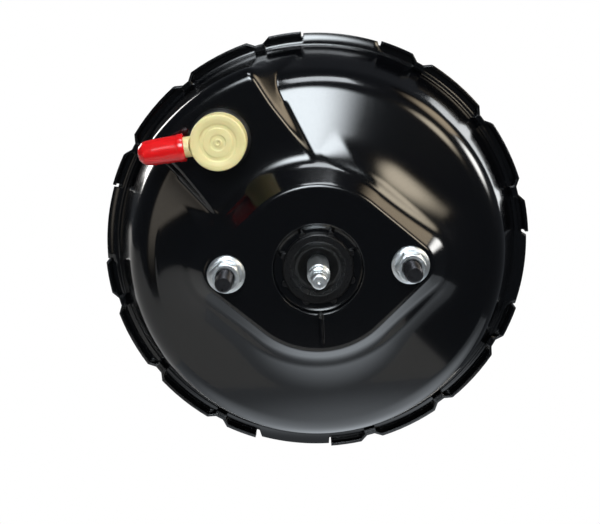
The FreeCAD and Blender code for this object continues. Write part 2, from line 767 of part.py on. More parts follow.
def nipple_axis_y():
    return body_back_y() - NIPPLE_RISE


def valve_body():
    """Chamber, barbed stem through the grommet, and the flap's seat ring."""
    back, front = body_back_y(), body_front_y()
    stem_end = boss_y() + SHEET + GROMMET_REAR + 3.0
    barb = boss_y() + SHEET + GROMMET_REAR + LAYER_GAP
    chamber_floor = back - VALVE_WALL
    return turned([(VALVE_STEM_BORE_R, stem_end), (VALVE_STEM_R, stem_end, 0.4), (VALVE_BARB_R, barb),
                   (VALVE_STEM_R, barb), (VALVE_STEM_R, back), (VALVE_BODY_R, back, 0.8),
                   (VALVE_BODY_R, front), (VALVE_CHAMBER_R, front), (VALVE_CHAMBER_R, chamber_floor),
                   (VALVE_STEM_BORE_R + 1.2, chamber_floor),
                   (VALVE_STEM_BORE_R + 1.0, chamber_floor - FLAP_SEAT),
                   (VALVE_STEM_BORE_R, chamber_floor - FLAP_SEAT)])


def valve_cover():
    """Front disc with rings moulded in its face; the nipple springs from the body beside it."""
    back = body_front_y()
    front = back - VALVE_COVER
    return turned([(0, front + 0.7), (1.1, front + 0.4), (3.6, front + 0.4), (4.0, front + 0.2),
                   (8.0, front + 0.2), (8.4, front), (VALVE_BODY_R, front, 0.7), (VALVE_BODY_R, back),
                   (VALVE_CHAMBER_R - RUNNING_GAP, back), (VALVE_CHAMBER_R - RUNNING_GAP, back + 1.0),
                   (VALVE_CHAMBER_R - 1.2, back + 1.0), (VALVE_CHAMBER_R - 1.2, front + VALVE_WALL),
                   (0, front + VALVE_WALL)])


def nipple_frame(shape):
    """Turns a piece made along the booster's axis onto the nipple's line."""
    placed = shape.copy()
    placed.rotate(ORIGIN, Vector(0, 0, 1), -90)
    placed.rotate(ORIGIN, FRONT_AXIS, NIPPLE_ANGLE)
    placed.translate(Vector(0, nipple_axis_y(), 0))
    return placed


def nipple():
    """Hose nipple with two barbs, measured from the valve's axis."""
    tip = NIPPLE_LENGTH
    root = VALVE_CHAMBER_R - 1.0
    barbs = [(NIPPLE_R, tip - 12.0), (NIPPLE_BARB_R, tip - 11.8), (NIPPLE_R - 0.6, tip - 7.0),
             (NIPPLE_BARB_R, tip - 6.6), (NIPPLE_R - 0.8, tip)]
    return nipple_frame(turned([(0, root), (NIPPLE_R, root)] + barbs + [(0, tip)]))


def nipple_bore():
    return nipple_frame(ring(0, NIPPLE_BORE_R, 0, NIPPLE_LENGTH + 1))


def nipple_cap():
    """Red cap, open at the valve's end and round at its tip."""
    start, end = CAP_START, CAP_START + CAP_LENGTH
    inner_r = CAP_R - CAP_WALL
    return nipple_frame(turned([(inner_r, start, 0.3), (CAP_R, start, 0.3), (CAP_R, end, 4.5), (0, end),
                                (0, end - 1.6), (inner_r - 0.2, end - 1.6, 1.9)]))


def flap():
    seat = body_back_y() - VALVE_WALL - FLAP_SEAT
    return ring(0, FLAP_R, seat - FLAP_THICK, seat, 0.2)


def check_valve_nodes():
    place = valve_centre(0)
    body = valve_body()
    chamber = ring(0, VALVE_CHAMBER_R, body_front_y() - VALVE_COVER, body_back_y() - VALVE_WALL)
    outlet = nipple().cut(chamber)
    keep = ring(0, VALVE_BODY_R + CLEAR, body_front_y(), body_back_y() + 2)
    beside_cover = ring(VALVE_BODY_R + LAYER_GAP, VALVE_BODY_R + CLEAR, FACE_Y - CLEAR, 0)
    lower = body.fuse(outlet.common(keep.fuse(beside_cover))).cut(nipple_bore())
    cover = valve_cover()
    flap_front = body_back_y() - VALVE_WALL - FLAP_SEAT - FLAP_THICK
    cover_inside = body_front_y() - VALVE_COVER + VALVE_WALL
    coil = spring(4.2, VALVE_WIRE, cover_inside, flap_front, VALVE_COILS)
    nodes = {"check_valve_grommet": grommet(), "check_valve_body": lower, "check_valve_cover": cover,
             "check_valve_flap": flap(), "check_valve_spring": coil, "nipple_cap": nipple_cap()}
    return {name: moved(shape, place) for name, shape in nodes.items()}


# Power piston

def valve_hub():
    """Hub solid with its key slot and vacuum passages."""
    groove_front = HUB_REAR - RUBBER - SUPPORT_SHEET - 2 * LAYER_GAP
    seat_top = SEAT_Y + SEAT_HEIGHT
    path = [(DISC_R, CUP_FLOOR), (CUP_R, CUP_FLOOR), (CUP_R, NOSE_FRONT), (NOSE_R, NOSE_FRONT, 1.0),
            (NOSE_R, HUB_FRONT, 2.0), (HUB_R, HUB_FRONT, 1.0), (HUB_R, groove_front),
            (GROOVE_FLOOR_R, groove_front), (GROOVE_FLOOR_R, HUB_REAR), (HUB_R - 2.0, HUB_REAR),
            (HUB_R - 2.0, HUB_REAR + 3.0, 1.0), (NECK_TUBE_R, HUB_REAR + 3.0, 1.0),
            (NECK_TUBE_R, NECK_TUBE_REAR, 0.8), (FILTER_BORE_R, NECK_TUBE_REAR),
            (FILTER_BORE_R, FILTER_BORE_FLOOR), (VALVE_BORE_R, FILTER_BORE_FLOOR),
            (VALVE_BORE_R, SEAT_Y), (SEAT_R + 0.6, SEAT_Y), (SEAT_R + 0.3, seat_top),
            (SEAT_R - 0.3, seat_top), (SEAT_R - 0.6, SEAT_Y), (PLUNGER_HEAD_R + LAYER_GAP, SEAT_Y),
            (PLUNGER_HEAD_R + LAYER_GAP, SEAT_Y - HEAD_ROOM), (PLUNGER_BORE_R, SEAT_Y - HEAD_ROOM),
            (PLUNGER_BORE_R, CUP_FLOOR + DISC_THICK), (DISC_R, CUP_FLOOR + DISC_THICK)]
    hub = turned(path)
    passages = []
    for side in (-1, 1):
        start = Vector(0, SEAT_Y, side * VALVE_BORE_R)
        end = Vector(0, HUB_FRONT - 1, side * (NOSE_R + PASSAGE_R + 2.5))
        passages.append(rod(PASSAGE_R, start, end))
    return hub.cut([key_slot()] + passages)


def key_slot():
    """Slot across the hub's neck that takes the stop key."""
    half = KEY_SLOT_WIDTH / 2 + LAYER_GAP
    room = KEY_THICK / 2 + LAYER_GAP
    corner = Vector(-PLUNGER_BORE_R - 1, KEY_Y - room, -half)
    return Part.makeBox(NECK_TUBE_R + CLEAR, 2 * room, 2 * half, corner)


def stop_key():
    """Flat key through the hub's slot, forked round the plunger's groove."""
    reach = KEY_GROOVE_R + KEY_FORK
    corner = Vector(-reach, KEY_Y - KEY_THICK / 2, -KEY_SLOT_WIDTH / 2)
    plate = Part.makeBox(KEY_LENGTH + reach, KEY_THICK, KEY_SLOT_WIDTH, corner)
    half = KEY_GROOVE_R + KEY_GAP
    hole = rod(half, Vector(0, KEY_Y - KEY_THICK, 0), Vector(0, KEY_Y + KEY_THICK, 0))
    mouth = Part.makeBox(reach + 1, 2 * KEY_THICK, 2 * half, Vector(-reach - 1, KEY_Y - KEY_THICK, -half))
    return plate.cut([hole, mouth])


def support_plate():
    """Pressed dish that backs the diaphragm, its edge bent forward."""
    rear = HUB_REAR - RUBBER - LAYER_GAP
    path = [(GROOVE_FLOOR_R + LAYER_GAP, rear), (HUB_R + 6, rear, 1.9), (HUB_R + 12, rear - SUPPORT_RISE, 1.9),
            (SUPPORT_R, rear - SUPPORT_RISE, 1.9), (SUPPORT_R + 1.0, rear - SUPPORT_RISE - SUPPORT_LIP)]
    return turned_sheet(path, -SUPPORT_SHEET)


def diaphragm():
    """Rubber skin from the hub's groove over the support plate to the bead in the rim."""
    rear = HUB_REAR
    skin_r = SUPPORT_R + RUBBER + 2 * LAYER_GAP
    fold_y = rear - SUPPORT_RISE - SUPPORT_LIP - DIAPHRAGM_FOLD
    outer_r = REAR_WALL_R - SHEET - DIAPHRAGM_WALL_GAP
    path = [(GROOVE_FLOOR_R + LAYER_GAP, rear), (HUB_R + 6 + LAYER_GAP, rear),
            (HUB_R + 12 + LAYER_GAP, rear - SUPPORT_RISE), (skin_r, rear - SUPPORT_RISE, 1.9),
            (skin_r + 1.2, fold_y, 1.5), (outer_r - 1.0, fold_y, 1.5), (outer_r, REAR_FLANGE_Y + 1.0),
            (BEAD_INNER_R + 0.5, REAR_FLANGE_Y - RIM_FILLET / 2)]
    skin = turned_sheet(path, -RUBBER)
    bead = ring(BEAD_INNER_R, flange_r() - LAYER_GAP, FRONT_FLANGE_Y, REAR_FLANGE_Y, 0.6)
    return skin.fuse(bead)


def reaction_disc():
    return ring(0, DISC_R - RUNNING_GAP, CUP_FLOOR, CUP_FLOOR + DISC_THICK)


def output_rod():
    """Rod with a broad head on the reaction disc and a tapped front end."""
    head_front = CUP_FLOOR - ROD_HEAD
    front = FACE_Y - ROD_TIP_REACH + SCREW_HEAD_LENGTH + SCREW_COLLAR
    tapped = front + SCREW_THREAD_LENGTH
    bore = SCREW_THREAD_R + RUNNING_GAP
    return turned([(0, CUP_FLOOR), (DISC_R - RUNNING_GAP, CUP_FLOOR), (DISC_R - RUNNING_GAP, head_front, 0.6),
                   (ROD_R + 2.0, head_front, 1.9), (ROD_R, head_front - 4.0, 1.9), (ROD_R, front, EDGE),
                   (bore, front), (bore, tapped), (0, tapped)])


def output_rod_clip():
    """Retaining ring in the hub's cup that keeps the rod's head in place."""
    back = CUP_FLOOR - ROD_HEAD - LAYER_GAP
    return ring(ROD_R + 3.4, CUP_R - RUNNING_GAP, back - ROD_CLIP, back)


def output_rod_screw():
    """Adjusting screw: thread, round collar, hexagon and rounded nose."""
    tip = FACE_Y - ROD_TIP_REACH
    seat = tip + SCREW_HEAD_LENGTH + SCREW_COLLAR
    thread = ring(0, SCREW_THREAD_R, seat, seat + SCREW_THREAD_LENGTH - 0.5, 0.3)
    collar = ring(0, SCREW_R + 0.6, seat - SCREW_COLLAR, seat, 0.4)
    hexagon_front = seat - SCREW_COLLAR - 5.0
    flats = hexagon(SCREW_FLAT, hexagon_front, seat - SCREW_COLLAR)
    nose = turned([(0, tip + 0.6), (0.9, tip), (SCREW_R - 0.3, tip, 2.0), (SCREW_R - 0.3, tip + 3.4, 0.3),
                   (SCREW_R - 1.1, tip + 4.2), (SCREW_R - 1.1, hexagon_front), (0, hexagon_front)])
    return thread.fuse([collar, flats, nose])


# Plunger, poppet valve, pedal rod

def plunger():
    """Air valve plunger: stem, key groove, air seat and the pedal rod's socket."""
    stem = PLUNGER_BORE_R - PLUNGER_GAP
    groove = KEY_THICK / 2 + PLUNGER_TRAVEL / 2 + LAYER_GAP
    seat_y = poppet_face_y()
    groove_rear = KEY_Y + groove + PLUNGER_TRAVEL / 2
    socket_r = POPPET_HOLE_R - 0.6
    body = turned([(0, PLUNGER_FRONT), (stem, PLUNGER_FRONT, EDGE), (stem, KEY_Y - groove),
                   (KEY_GROOVE_R, KEY_Y - groove), (KEY_GROOVE_R, groove_rear), (stem, groove_rear),
                   (stem, seat_y - PLUNGER_HEAD), (PLUNGER_HEAD_R, seat_y - PLUNGER_HEAD, EDGE),
                   (PLUNGER_HEAD_R, seat_y), (socket_r, seat_y), (socket_r, SOCKET_REAR, EDGE),
                   (0, SOCKET_REAR)])
    ball = Part.makeSphere(BALL_R + BALL_GAP, Vector(0, BALL_Y, 0))
    throat = Part.makeCone(BALL_R * 0.9, BALL_R + 1.0, 6.0, Vector(0, BALL_Y + 1.6, 0), REAR_AXIS)
    return body.cut([ball, throat])


def poppet_face_y():
    """Front of the poppet at rest: on the air seat, just clear of the vacuum seat."""
    return SEAT_Y + SEAT_HEIGHT + POPPET_TRAVEL + LAYER_GAP / 2


def poppet():
    """Rubber disc that closes on either seat, with a short sleeve."""
    front = poppet_face_y() + LAYER_GAP / 3
    back = front + POPPET_THICK
    return turned([(POPPET_HOLE_R, front), (POPPET_R, front, 0.4), (POPPET_R, back + POPPET_SLEEVE),
                   (POPPET_R - POPPET_WALL, back + POPPET_SLEEVE), (POPPET_R - POPPET_WALL, back),
                   (POPPET_HOLE_R, back)])


def poppet_ring_y():
    """Front of the steel ring that holds the bellows' rear bead."""
    return FILTER_BORE_FLOOR + LAYER_GAP


def poppet_bellows():
    """Thin folding sleeve between the poppet and its retaining ring."""
    start = poppet_face_y() + LAYER_GAP / 3 + POPPET_THICK + POPPET_SLEEVE
    end = poppet_ring_y() + POPPET_RING
    middle = (start + end) / 2
    path = [(POPPET_R, start), (POPPET_R, start + 0.6, EDGE), (POPPET_R - 2.2, middle - 1.0, 0.8),
            (POPPET_R - 0.2, end - 3.4, 0.6), (POPPET_R - 0.2, end)]
    return turned_sheet(path, BELLOWS_WALL)


def poppet_retainer():
    front = poppet_ring_y()
    back = front + POPPET_RING
    inner = POPPET_R + LAYER_GAP
    return turned([(inner, front), (FILTER_BORE_R - PRESS_GAP, front), (FILTER_BORE_R - PRESS_GAP, back + 1.0),
                   (POPPET_HOLE_R + 2.6, back + 1.0), (POPPET_HOLE_R + 2.6, back), (inner, back)])


def pedal_rod():
    """Ball-ended rod with a spring collar and a flat eye across the pedal's pin."""
    neck_r = BALL_R * 0.7
    start = BALL_Y + sqrt(BALL_R ** 2 - neck_r ** 2) - 0.2
    ball = Part.makeSphere(BALL_R, Vector(0, BALL_Y, 0))
    collar_back = PEDAL_ROD_COLLAR_Y + PEDAL_ROD_COLLAR
    end = PEDAL_EYE_Y - PEDAL_BUSH_R - 1.0
    shaft = turned([(0, start), (neck_r, start), (PEDAL_ROD_R, start + 4.0),
                    (PEDAL_ROD_R, PEDAL_ROD_COLLAR_Y), (PEDAL_ROD_COLLAR_R, PEDAL_ROD_COLLAR_Y),
                    (PEDAL_ROD_COLLAR_R, collar_back), (PEDAL_ROD_R, collar_back), (PEDAL_ROD_R, end), (0, end)])
    half = PEDAL_EYE_WIDTH / 2
    eye = rod(PEDAL_EYE_R, Vector(-half, PEDAL_EYE_Y, 0), Vector(half, PEDAL_EYE_Y, 0))
    hole = rod(PEDAL_BUSH_R, Vector(-half - 1, PEDAL_EYE_Y, 0), Vector(half + 1, PEDAL_EYE_Y, 0))
    return ball.fuse([shaft, eye]).cut(hole)


def eye_bush():
    half = PEDAL_EYE_WIDTH / 2
    outer = rod(PEDAL_BUSH_R - PRESS_GAP, Vector(-half, PEDAL_EYE_Y, 0), Vector(half, PEDAL_EYE_Y, 0))
    lips = []
    for side in (-1, 1):
        root = Vector(side * half, PEDAL_EYE_Y, 0)
        lips.append(rod(PEDAL_BUSH_R + BUSH_LIP, root, root + Vector(side * BUSH_LIP_THICK, 0, 0)))
    hole = rod(PEDAL_PIN_R, Vector(-half - 2, PEDAL_EYE_Y, 0), Vector(half + 2, PEDAL_EYE_Y, 0))
    return outer.fuse(lips).cut(hole)


def filter_stack():
    """Filter foam, silencer felt and the cap that holds them in the neck tube."""
    outer = FILTER_BORE_R - LAYER_GAP
    cap_front = NECK_TUBE_REAR - FILTER_CAP
    foam_front = cap_front - FILTER_THICK
    felt_front = foam_front - SILENCER_THICK
    return {"air_filter": ring(FILTER_HOLE_R, outer, foam_front, cap_front),
            "air_silencer": ring(FILTER_HOLE_R, outer, felt_front, foam_front),
            "filter_retainer": ring(FILTER_HOLE_R, FILTER_BORE_R - PRESS_GAP, cap_front, NECK_TUBE_REAR)}


# Rear seal and boot

def rear_bearing():
    back = NECK_LENGTH - SHEET - SEAL_RING - REAR_SEAL_WIDTH
    return ring(NECK_TUBE_R + RUNNING_GAP, NECK_R - SHEET - PRESS_GAP, back - BEARING_WIDTH, back, 0.5)


def rear_seal():
    back = NECK_LENGTH - SHEET - SEAL_RING
    front = back - REAR_SEAL_WIDTH
    outer = NECK_R - SHEET - PRESS_GAP
    lip = NECK_TUBE_R + RUNNING_GAP
    return turned([(lip + 3.0, front), (outer, front), (outer, back), (lip + 1.5, back),
                   (lip, back - 1.6, 0.3), (lip, back - 3.2, 0.3), (lip + 2.0, back - 3.2)])


def seal_ring():
    back = NECK_LENGTH - SHEET
    outer = NECK_R - SHEET - PRESS_GAP
    front = back - SEAL_RING
    inner = NECK_TUBE_R + 1.5
    return turned([(inner, front), (outer, front), (outer - 0.6, back - SEAL_RING / 2),
                   (outer - NECK_ROUND / 2, back), (inner, back)])


def dust_boot():
    """Folded rubber boot from the shell's neck to the pedal rod."""
    mouth_r = NECK_R + LAYER_GAP + BOOT_WALL
    lip_r = PEDAL_ROD_R + LAYER_GAP + BOOT_WALL
    end = BOOT_REAR_Y - BOOT_LIP
    path = [(mouth_r, BOOT_FRONT_Y), (mouth_r, NECK_LENGTH + 3.0)]
    start = NECK_LENGTH + 5.0
    step = (end - start) / BOOT_FOLDS
    for i in range(BOOT_FOLDS):
        share = ((i + 0.5) / BOOT_FOLDS) ** BOOT_TAPER
        mean = mouth_r + (lip_r + BOOT_FOLD_DEPTH / 2 + 2 - mouth_r) * share
        path.append((mean - BOOT_FOLD_DEPTH / 2, start + step * i))
        path.append((mean + BOOT_FOLD_DEPTH / 2, start + step * (i + 0.5)))
    path += [(lip_r, end), (lip_r, BOOT_REAR_Y)]
    return turned_sheet(path, BOOT_WALL)


# Springs on the booster's axis

def main_spring():
    """Return spring from the front plate to the support plate."""
    start = FACE_Y + SHEET + PLATE
    end = HUB_REAR - RUBBER - SUPPORT_SHEET - 2 * LAYER_GAP - SPRING_GAP
    return spring(MAIN_SPRING_R, MAIN_WIRE, start, end, MAIN_COILS)


def poppet_spring():
    start = poppet_face_y() + LAYER_GAP / 3 + POPPET_THICK
    return spring(POPPET_HOLE_R + 2.2, POPPET_WIRE, start, poppet_ring_y() + POPPET_RING, POPPET_COILS)


def rod_return_spring():
    start = poppet_ring_y() + POPPET_RING + 1.0
    return spring(PEDAL_ROD_COLLAR_R - RETURN_WIRE, RETURN_WIRE, start, PEDAL_ROD_COLLAR_Y, RETURN_COILS)


def group(shapes):
    """Separate solids that share one node."""
    return Part.makeCompound(shapes)


def build():
    nodes = {
        "front_shell": front_shell(),
        "rear_shell": rear_shell(),
        "front_reinforcement": front_plate(),
        "rear_reinforcement": rear_plate(),
        "master_cylinder_studs": group([front_stud(p) for p in stud_places()]),
        "master_cylinder_nuts": group([flange_nut(p) for p in stud_places()]),
        "firewall_studs": group([firewall_stud(p) for p in firewall_stud_places()]),
        "firewall_gasket": gasket(),
        "front_seal": front_seal(),
        "seal_retainer": seal_retainer(),
        "valve_hub": valve_hub(),
        "stop_key": stop_key(),
        "support_plate": support_plate(),
        "diaphragm": diaphragm(),
        "reaction_disc": reaction_disc(),
        "output_rod": output_rod(),
        "output_rod_clip": output_rod_clip(),
        "output_rod_screw": output_rod_screw(),
        "plunger": plunger(),
        "poppet": poppet(),
        "poppet_bellows": poppet_bellows(),
        "poppet_retainer": poppet_retainer(),
        "poppet_spring": poppet_spring(),
        "rod_return_spring": rod_return_spring(),
        "return_spring": main_spring(),
        "pedal_rod": pedal_rod(),
        "pedal_eye_bush": eye_bush(),
        "rear_bearing": rear_bearing(),
        "rear_seal": rear_seal(),
        "rear_seal_ring": seal_ring(),
        "dust_boot": dust_boot(),
    }
    nodes.update(check_valve_nodes())
    nodes.update(filter_stack())
    return nodes


def main():
    os.makedirs("parts", exist_ok=True)
    for name, shape in build().items():
        print(name, len(shape.Solids), shape.isValid(), round(shape.Volume, 1))
        shape.exportStep("parts/" + name + ".step")


main()
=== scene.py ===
import json
import logging
import math
from collections.abc import Sequence
from dataclasses import dataclass
from enum import Enum

import bmesh
import bpy
import numpy as np
from mathutils import Matrix, Vector

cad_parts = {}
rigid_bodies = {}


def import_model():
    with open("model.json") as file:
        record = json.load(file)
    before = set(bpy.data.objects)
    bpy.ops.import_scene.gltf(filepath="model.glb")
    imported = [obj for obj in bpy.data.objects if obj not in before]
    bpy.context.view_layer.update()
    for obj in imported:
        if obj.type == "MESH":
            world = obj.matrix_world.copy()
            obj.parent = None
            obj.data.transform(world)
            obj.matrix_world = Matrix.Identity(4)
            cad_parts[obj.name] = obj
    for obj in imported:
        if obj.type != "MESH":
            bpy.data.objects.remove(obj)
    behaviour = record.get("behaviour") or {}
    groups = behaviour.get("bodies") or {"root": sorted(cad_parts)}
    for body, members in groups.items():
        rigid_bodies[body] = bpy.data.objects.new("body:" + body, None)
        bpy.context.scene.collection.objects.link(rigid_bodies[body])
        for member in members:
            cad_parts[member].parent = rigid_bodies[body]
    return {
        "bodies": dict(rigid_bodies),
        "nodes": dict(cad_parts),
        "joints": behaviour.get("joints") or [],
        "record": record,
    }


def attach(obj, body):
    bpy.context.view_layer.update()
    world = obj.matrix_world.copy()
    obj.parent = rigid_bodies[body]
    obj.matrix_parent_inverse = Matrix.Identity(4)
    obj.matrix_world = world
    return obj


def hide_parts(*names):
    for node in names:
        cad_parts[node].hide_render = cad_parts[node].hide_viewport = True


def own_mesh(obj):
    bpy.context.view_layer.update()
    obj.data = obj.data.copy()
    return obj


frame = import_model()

LOG = logging.getLogger("brake_booster")
MM = 0.001
FACE_Y = -105.0          # mounting face on the booster's axis, in millimetres
STUD_X = 42.85           # mounting studs, left and right of the axis
FIREWALL_X = 40.0        # firewall studs, left and right of the axis
FIREWALL_Z = 30.0        # firewall studs, above and below the axis
VALVE_R = 74.7           # check valve's distance from the axis
VALVE_ANGLE = 124.5      # check valve's place round the axis, in degrees
PISTON_TRAVEL = 32.0
TAU = 2 * math.pi
TINY = 1e-6
FAR = 99.0               # a depth or radius beyond every shape
SIDE_SHARE = 0.49        # most of a side that the arc at one of its ends may take
WHITE = (1, 1, 1, 1)

Tree = bpy.types.NodeTree
Node = bpy.types.Node
Width = float | np.ndarray
Rows = tuple[np.ndarray, np.ndarray]     # radius and depth of each row and column
Surface = tuple[np.ndarray, list]        # points and the faces between them


class Slot(Enum):
    """The part's material slots."""

    BLACK_PAINT = "black_paint"
    ZINC_PLATE = "zinc_plate"
    BLACK_STEEL = "black_steel"
    BLACK_PLASTIC = "black_plastic"
    IVORY_PLASTIC = "ivory_plastic"
    HUB_PLASTIC = "hub_plastic"
    BUSH_PLASTIC = "bush_plastic"
    BLACK_RUBBER = "black_rubber"
    SPRING_STEEL = "spring_steel"
    RED_VINYL = "red_vinyl"
    FILTER_FOAM = "filter_foam"


class Body(Enum):
    """The rigid bodies that the new pieces ride on."""

    HOUSING = "housing"
    PISTON = "power_piston"
    CHECK_VALVE = "check_valve"
    CAP = "shipping_cap"


# Finishes

NOISE_DETAIL = 4.0
NOISE_LOW, NOISE_HIGH = 0.3, 0.7     # nearly all of the noise lies between these
COAT_ROUGHNESS = 0.06
SCATTER_DEPTH = 0.002                # in metres
BEVEL_SAMPLES = 6


@dataclass(frozen=True)
class Finish:
    """A surface finish made of one principled shader with fine noise.

    Args:
        slot: The material slot it stands for.
        color: Base colour, linear RGB.
        roughness: Middle roughness.
        spread: How far the noise moves the roughness up and down.
        metallic: Metallic share.
        coat: Weight of the clear coat.
        grain: Noise features for each metre.
        bump: Depth of the noise as relief, in metres.
        edge: Radius of the softened edge highlight, in metres.
        mottle: How far the noise darkens the base colour.
        scatter: Subsurface weight.
    """

    slot: Slot
    color: tuple
    roughness: float
    spread: float = 0.05
    metallic: float = 0.0
    coat: float = 0.0
    grain: float = 300.0
    bump: float = 0.0
    edge: float = 0.0004
    mottle: float = 0.1
    scatter: float = 0.0

    def build(self) -> bpy.types.Material:
        """Makes the Blender material.

        Returns:
            The material, with Object coordinates driving all its noise.
        """
        material = bpy.data.materials.new(self.slot.value)
        material.use_nodes = True
        tree = material.node_tree
        shader = tree.nodes["Principled BSDF"]
        coords = tree.nodes.new("ShaderNodeTexCoord")
        noise = tree.nodes.new("ShaderNodeTexNoise")
        noise.inputs["Scale"].default_value = self.grain
        noise.inputs["Detail"].default_value = NOISE_DETAIL
        tree.links.new(coords.outputs["Object"], noise.inputs["Vector"])
        self.vary_roughness(tree, noise, shader)
        self.vary_color(tree, noise, shader)
        self.soften(tree, noise, shader)
        shader.inputs["Metallic"].default_value = self.metallic
        shader.inputs["Coat Weight"].default_value = self.coat
        shader.inputs["Coat Roughness"].default_value = COAT_ROUGHNESS
        shader.inputs["Subsurface Weight"].default_value = self.scatter
        shader.inputs["Subsurface Scale"].default_value = SCATTER_DEPTH
        return material

    def vary_roughness(self, tree: Tree, noise: Node, shader: Node) -> None:
        """Moves the roughness with the noise.

        It runs from its middle minus the spread to its middle plus the spread.

        Args:
            tree: The material's node tree.
            noise: The noise that drives the finish.
            shader: The principled shader.
        """
        span = tree.nodes.new("ShaderNodeMapRange")
        span.inputs["From Min"].default_value = NOISE_LOW
        span.inputs["From Max"].default_value = NOISE_HIGH
        span.inputs["To Min"].default_value = self.roughness - self.spread
        span.inputs["To Max"].default_value = self.roughness + self.spread
        tree.links.new(noise.outputs["Fac"], span.inputs["Value"])
        tree.links.new(span.outputs["Result"], shader.inputs["Roughness"])

    def vary_color(self, tree: Tree, noise: Node, shader: Node) -> None:
        """Base colour is darkened by the mottle where the noise is low.

        Args:
            tree: The material's node tree.
            noise: The noise that drives the finish.
            shader: The principled shader.
        """
        mix = tree.nodes.new("ShaderNodeMix")
        mix.data_type = "RGBA"
        dark = [c * (1 - self.mottle) for c in self.color]
        mix.inputs["A"].default_value = (*dark, 1)
        mix.inputs["B"].default_value = (*self.color, 1)
        tree.links.new(noise.outputs["Fac"], mix.inputs["Factor"])
        tree.links.new(mix.outputs["Result"], shader.inputs["Base Color"])

    def soften(self, tree: Tree, noise: Node, shader: Node) -> None:
        """Rounds the edges in the shading and adds the fine relief.

        Args:
            tree: The material's node tree.
            noise: The noise that drives the finish.
            shader: The principled shader.
        """
        bevel = tree.nodes.new("ShaderNodeBevel")
        bevel.samples = BEVEL_SAMPLES
        bevel.inputs["Radius"].default_value = self.edge
        bump = tree.nodes.new("ShaderNodeBump")
        bump.inputs["Distance"].default_value = self.bump
        bump.inputs["Strength"].default_value = 1.0 if self.bump else 0.0
        tree.links.new(noise.outputs["Fac"], bump.inputs["Height"])
        tree.links.new(bevel.outputs["Normal"], bump.inputs["Normal"])
        tree.links.new(bump.outputs["Normal"], shader.inputs["Normal"])


FINISHES = (
    Finish(Slot.BLACK_PAINT, (0.0014, 0.0016, 0.0022), 0.15, 0.02, coat=0.35, grain=900,
           bump=5e-6, edge=0.0012),
    Finish(Slot.ZINC_PLATE, (0.8, 0.84, 0.86), 0.38, 0.08, metallic=1.0, grain=900,
           bump=3e-6, mottle=0.12),
    Finish(Slot.BLACK_STEEL, (0.05, 0.05, 0.055), 0.34, 0.08, metallic=0.8, grain=700,
           bump=1e-5, mottle=0.3),
    Finish(Slot.BLACK_PLASTIC, (0.0035, 0.0035, 0.004), 0.3, 0.05, grain=1500, bump=1e-5),
    Finish(Slot.IVORY_PLASTIC, (0.86, 0.75, 0.37), 0.4, 0.05, grain=500, bump=8e-6,
           mottle=0.05, scatter=0.15),
    Finish(Slot.HUB_PLASTIC, (0.05, 0.035, 0.025), 0.45, 0.06, grain=800, bump=2e-5),
    Finish(Slot.BUSH_PLASTIC, (0.75, 0.74, 0.7), 0.4, 0.05),
    Finish(Slot.BLACK_RUBBER, (0.005, 0.005, 0.005), 0.5, 0.08, grain=1200, bump=2e-5),
    Finish(Slot.SPRING_STEEL, (0.32, 0.32, 0.33), 0.35, 0.08, metallic=1.0, grain=900),
    Finish(Slot.RED_VINYL, (0.84, 0.008, 0.01), 0.24, 0.03, coat=0.5, grain=300,
           bump=2e-6, mottle=0.05, scatter=0.1),
    Finish(Slot.FILTER_FOAM, (0.12, 0.12, 0.11), 0.9, 0.05, grain=2500, bump=3e-4, mottle=0.5),
)


class Wardrobe:
    """Builds every finish once and dresses pieces with it."""

    def __init__(self) -> None:
        """Builds all the finishes."""
        self.materials = {finish.slot: finish.build() for finish in FINISHES}

    def dress(self, piece: bpy.types.Object, slot: Slot) -> None:
        """Gives a new piece its finish.

        Args:
            piece: The mesh object.
            slot: The material slot it belongs to.
        """
        piece.data.materials.clear()
        piece.data.materials.append(self.materials[slot])

    def dress_frame(self, loaded: dict) -> None:
        """Gives each node of the model the finish of its slot.

        Args:
            loaded: The loaded model: its nodes and its record.
        """
        for entry in loaded["record"]["subparts"]:
            node = loaded["nodes"][entry["node"]]
            node.data.materials.clear()
            node.data.materials.append(self.materials[Slot(entry["material_slot"])])


# Numeric shapes

def rounded_path(corners: Sequence, step: float = 0.35) -> np.ndarray:
    """Points along straight sides joined by arcs.

    Each corner's arc touches both sides at radius / tan(half the corner's angle) from the corner,
    and its points are the arc's centre plus the radius turned evenly between the two touch points.

    Args:
        corners: Rows of (a, b, rounding radius) in millimetres.
        step: Wanted distance between arc points.

    Returns:
        An (n, 2) array of points.
    """
    points = [np.array(corners[0][:2], float)[None]]
    for before, corner, after in zip(corners, corners[1:], corners[2:]):
        here = np.array(corner[:2], float)
        if corner[2] <= 0:
            points.append(here[None])
            continue
        a = np.array(before[:2], float) - here
        b = np.array(after[:2], float) - here
        la, lb = np.linalg.norm(a), np.linalg.norm(b)
        a, b = a / la, b / lb
        half = math.acos(float(np.clip(a @ b, -1, 1))) / 2
        reach = min(corner[2] / math.tan(half), SIDE_SHARE * la, SIDE_SHARE * lb)
        radius = reach * math.tan(half)
        middle = (a + b) / np.linalg.norm(a + b)
        centre = here + middle * radius / math.sin(half)
        start, end = here + a * reach, here + b * reach
        swing = math.pi - 2 * half
        count = max(3, int(math.ceil(radius * swing / step)) + 1)
        t = np.linspace(0, 1, count)[:, None]
        spokes = (start - centre) * np.sin((1 - t) * swing) + (end - centre) * np.sin(t * swing)
        points.append(centre + spokes / math.sin(swing))
    points.append(np.array(corners[-1][:2], float)[None])
    return np.concatenate(points)


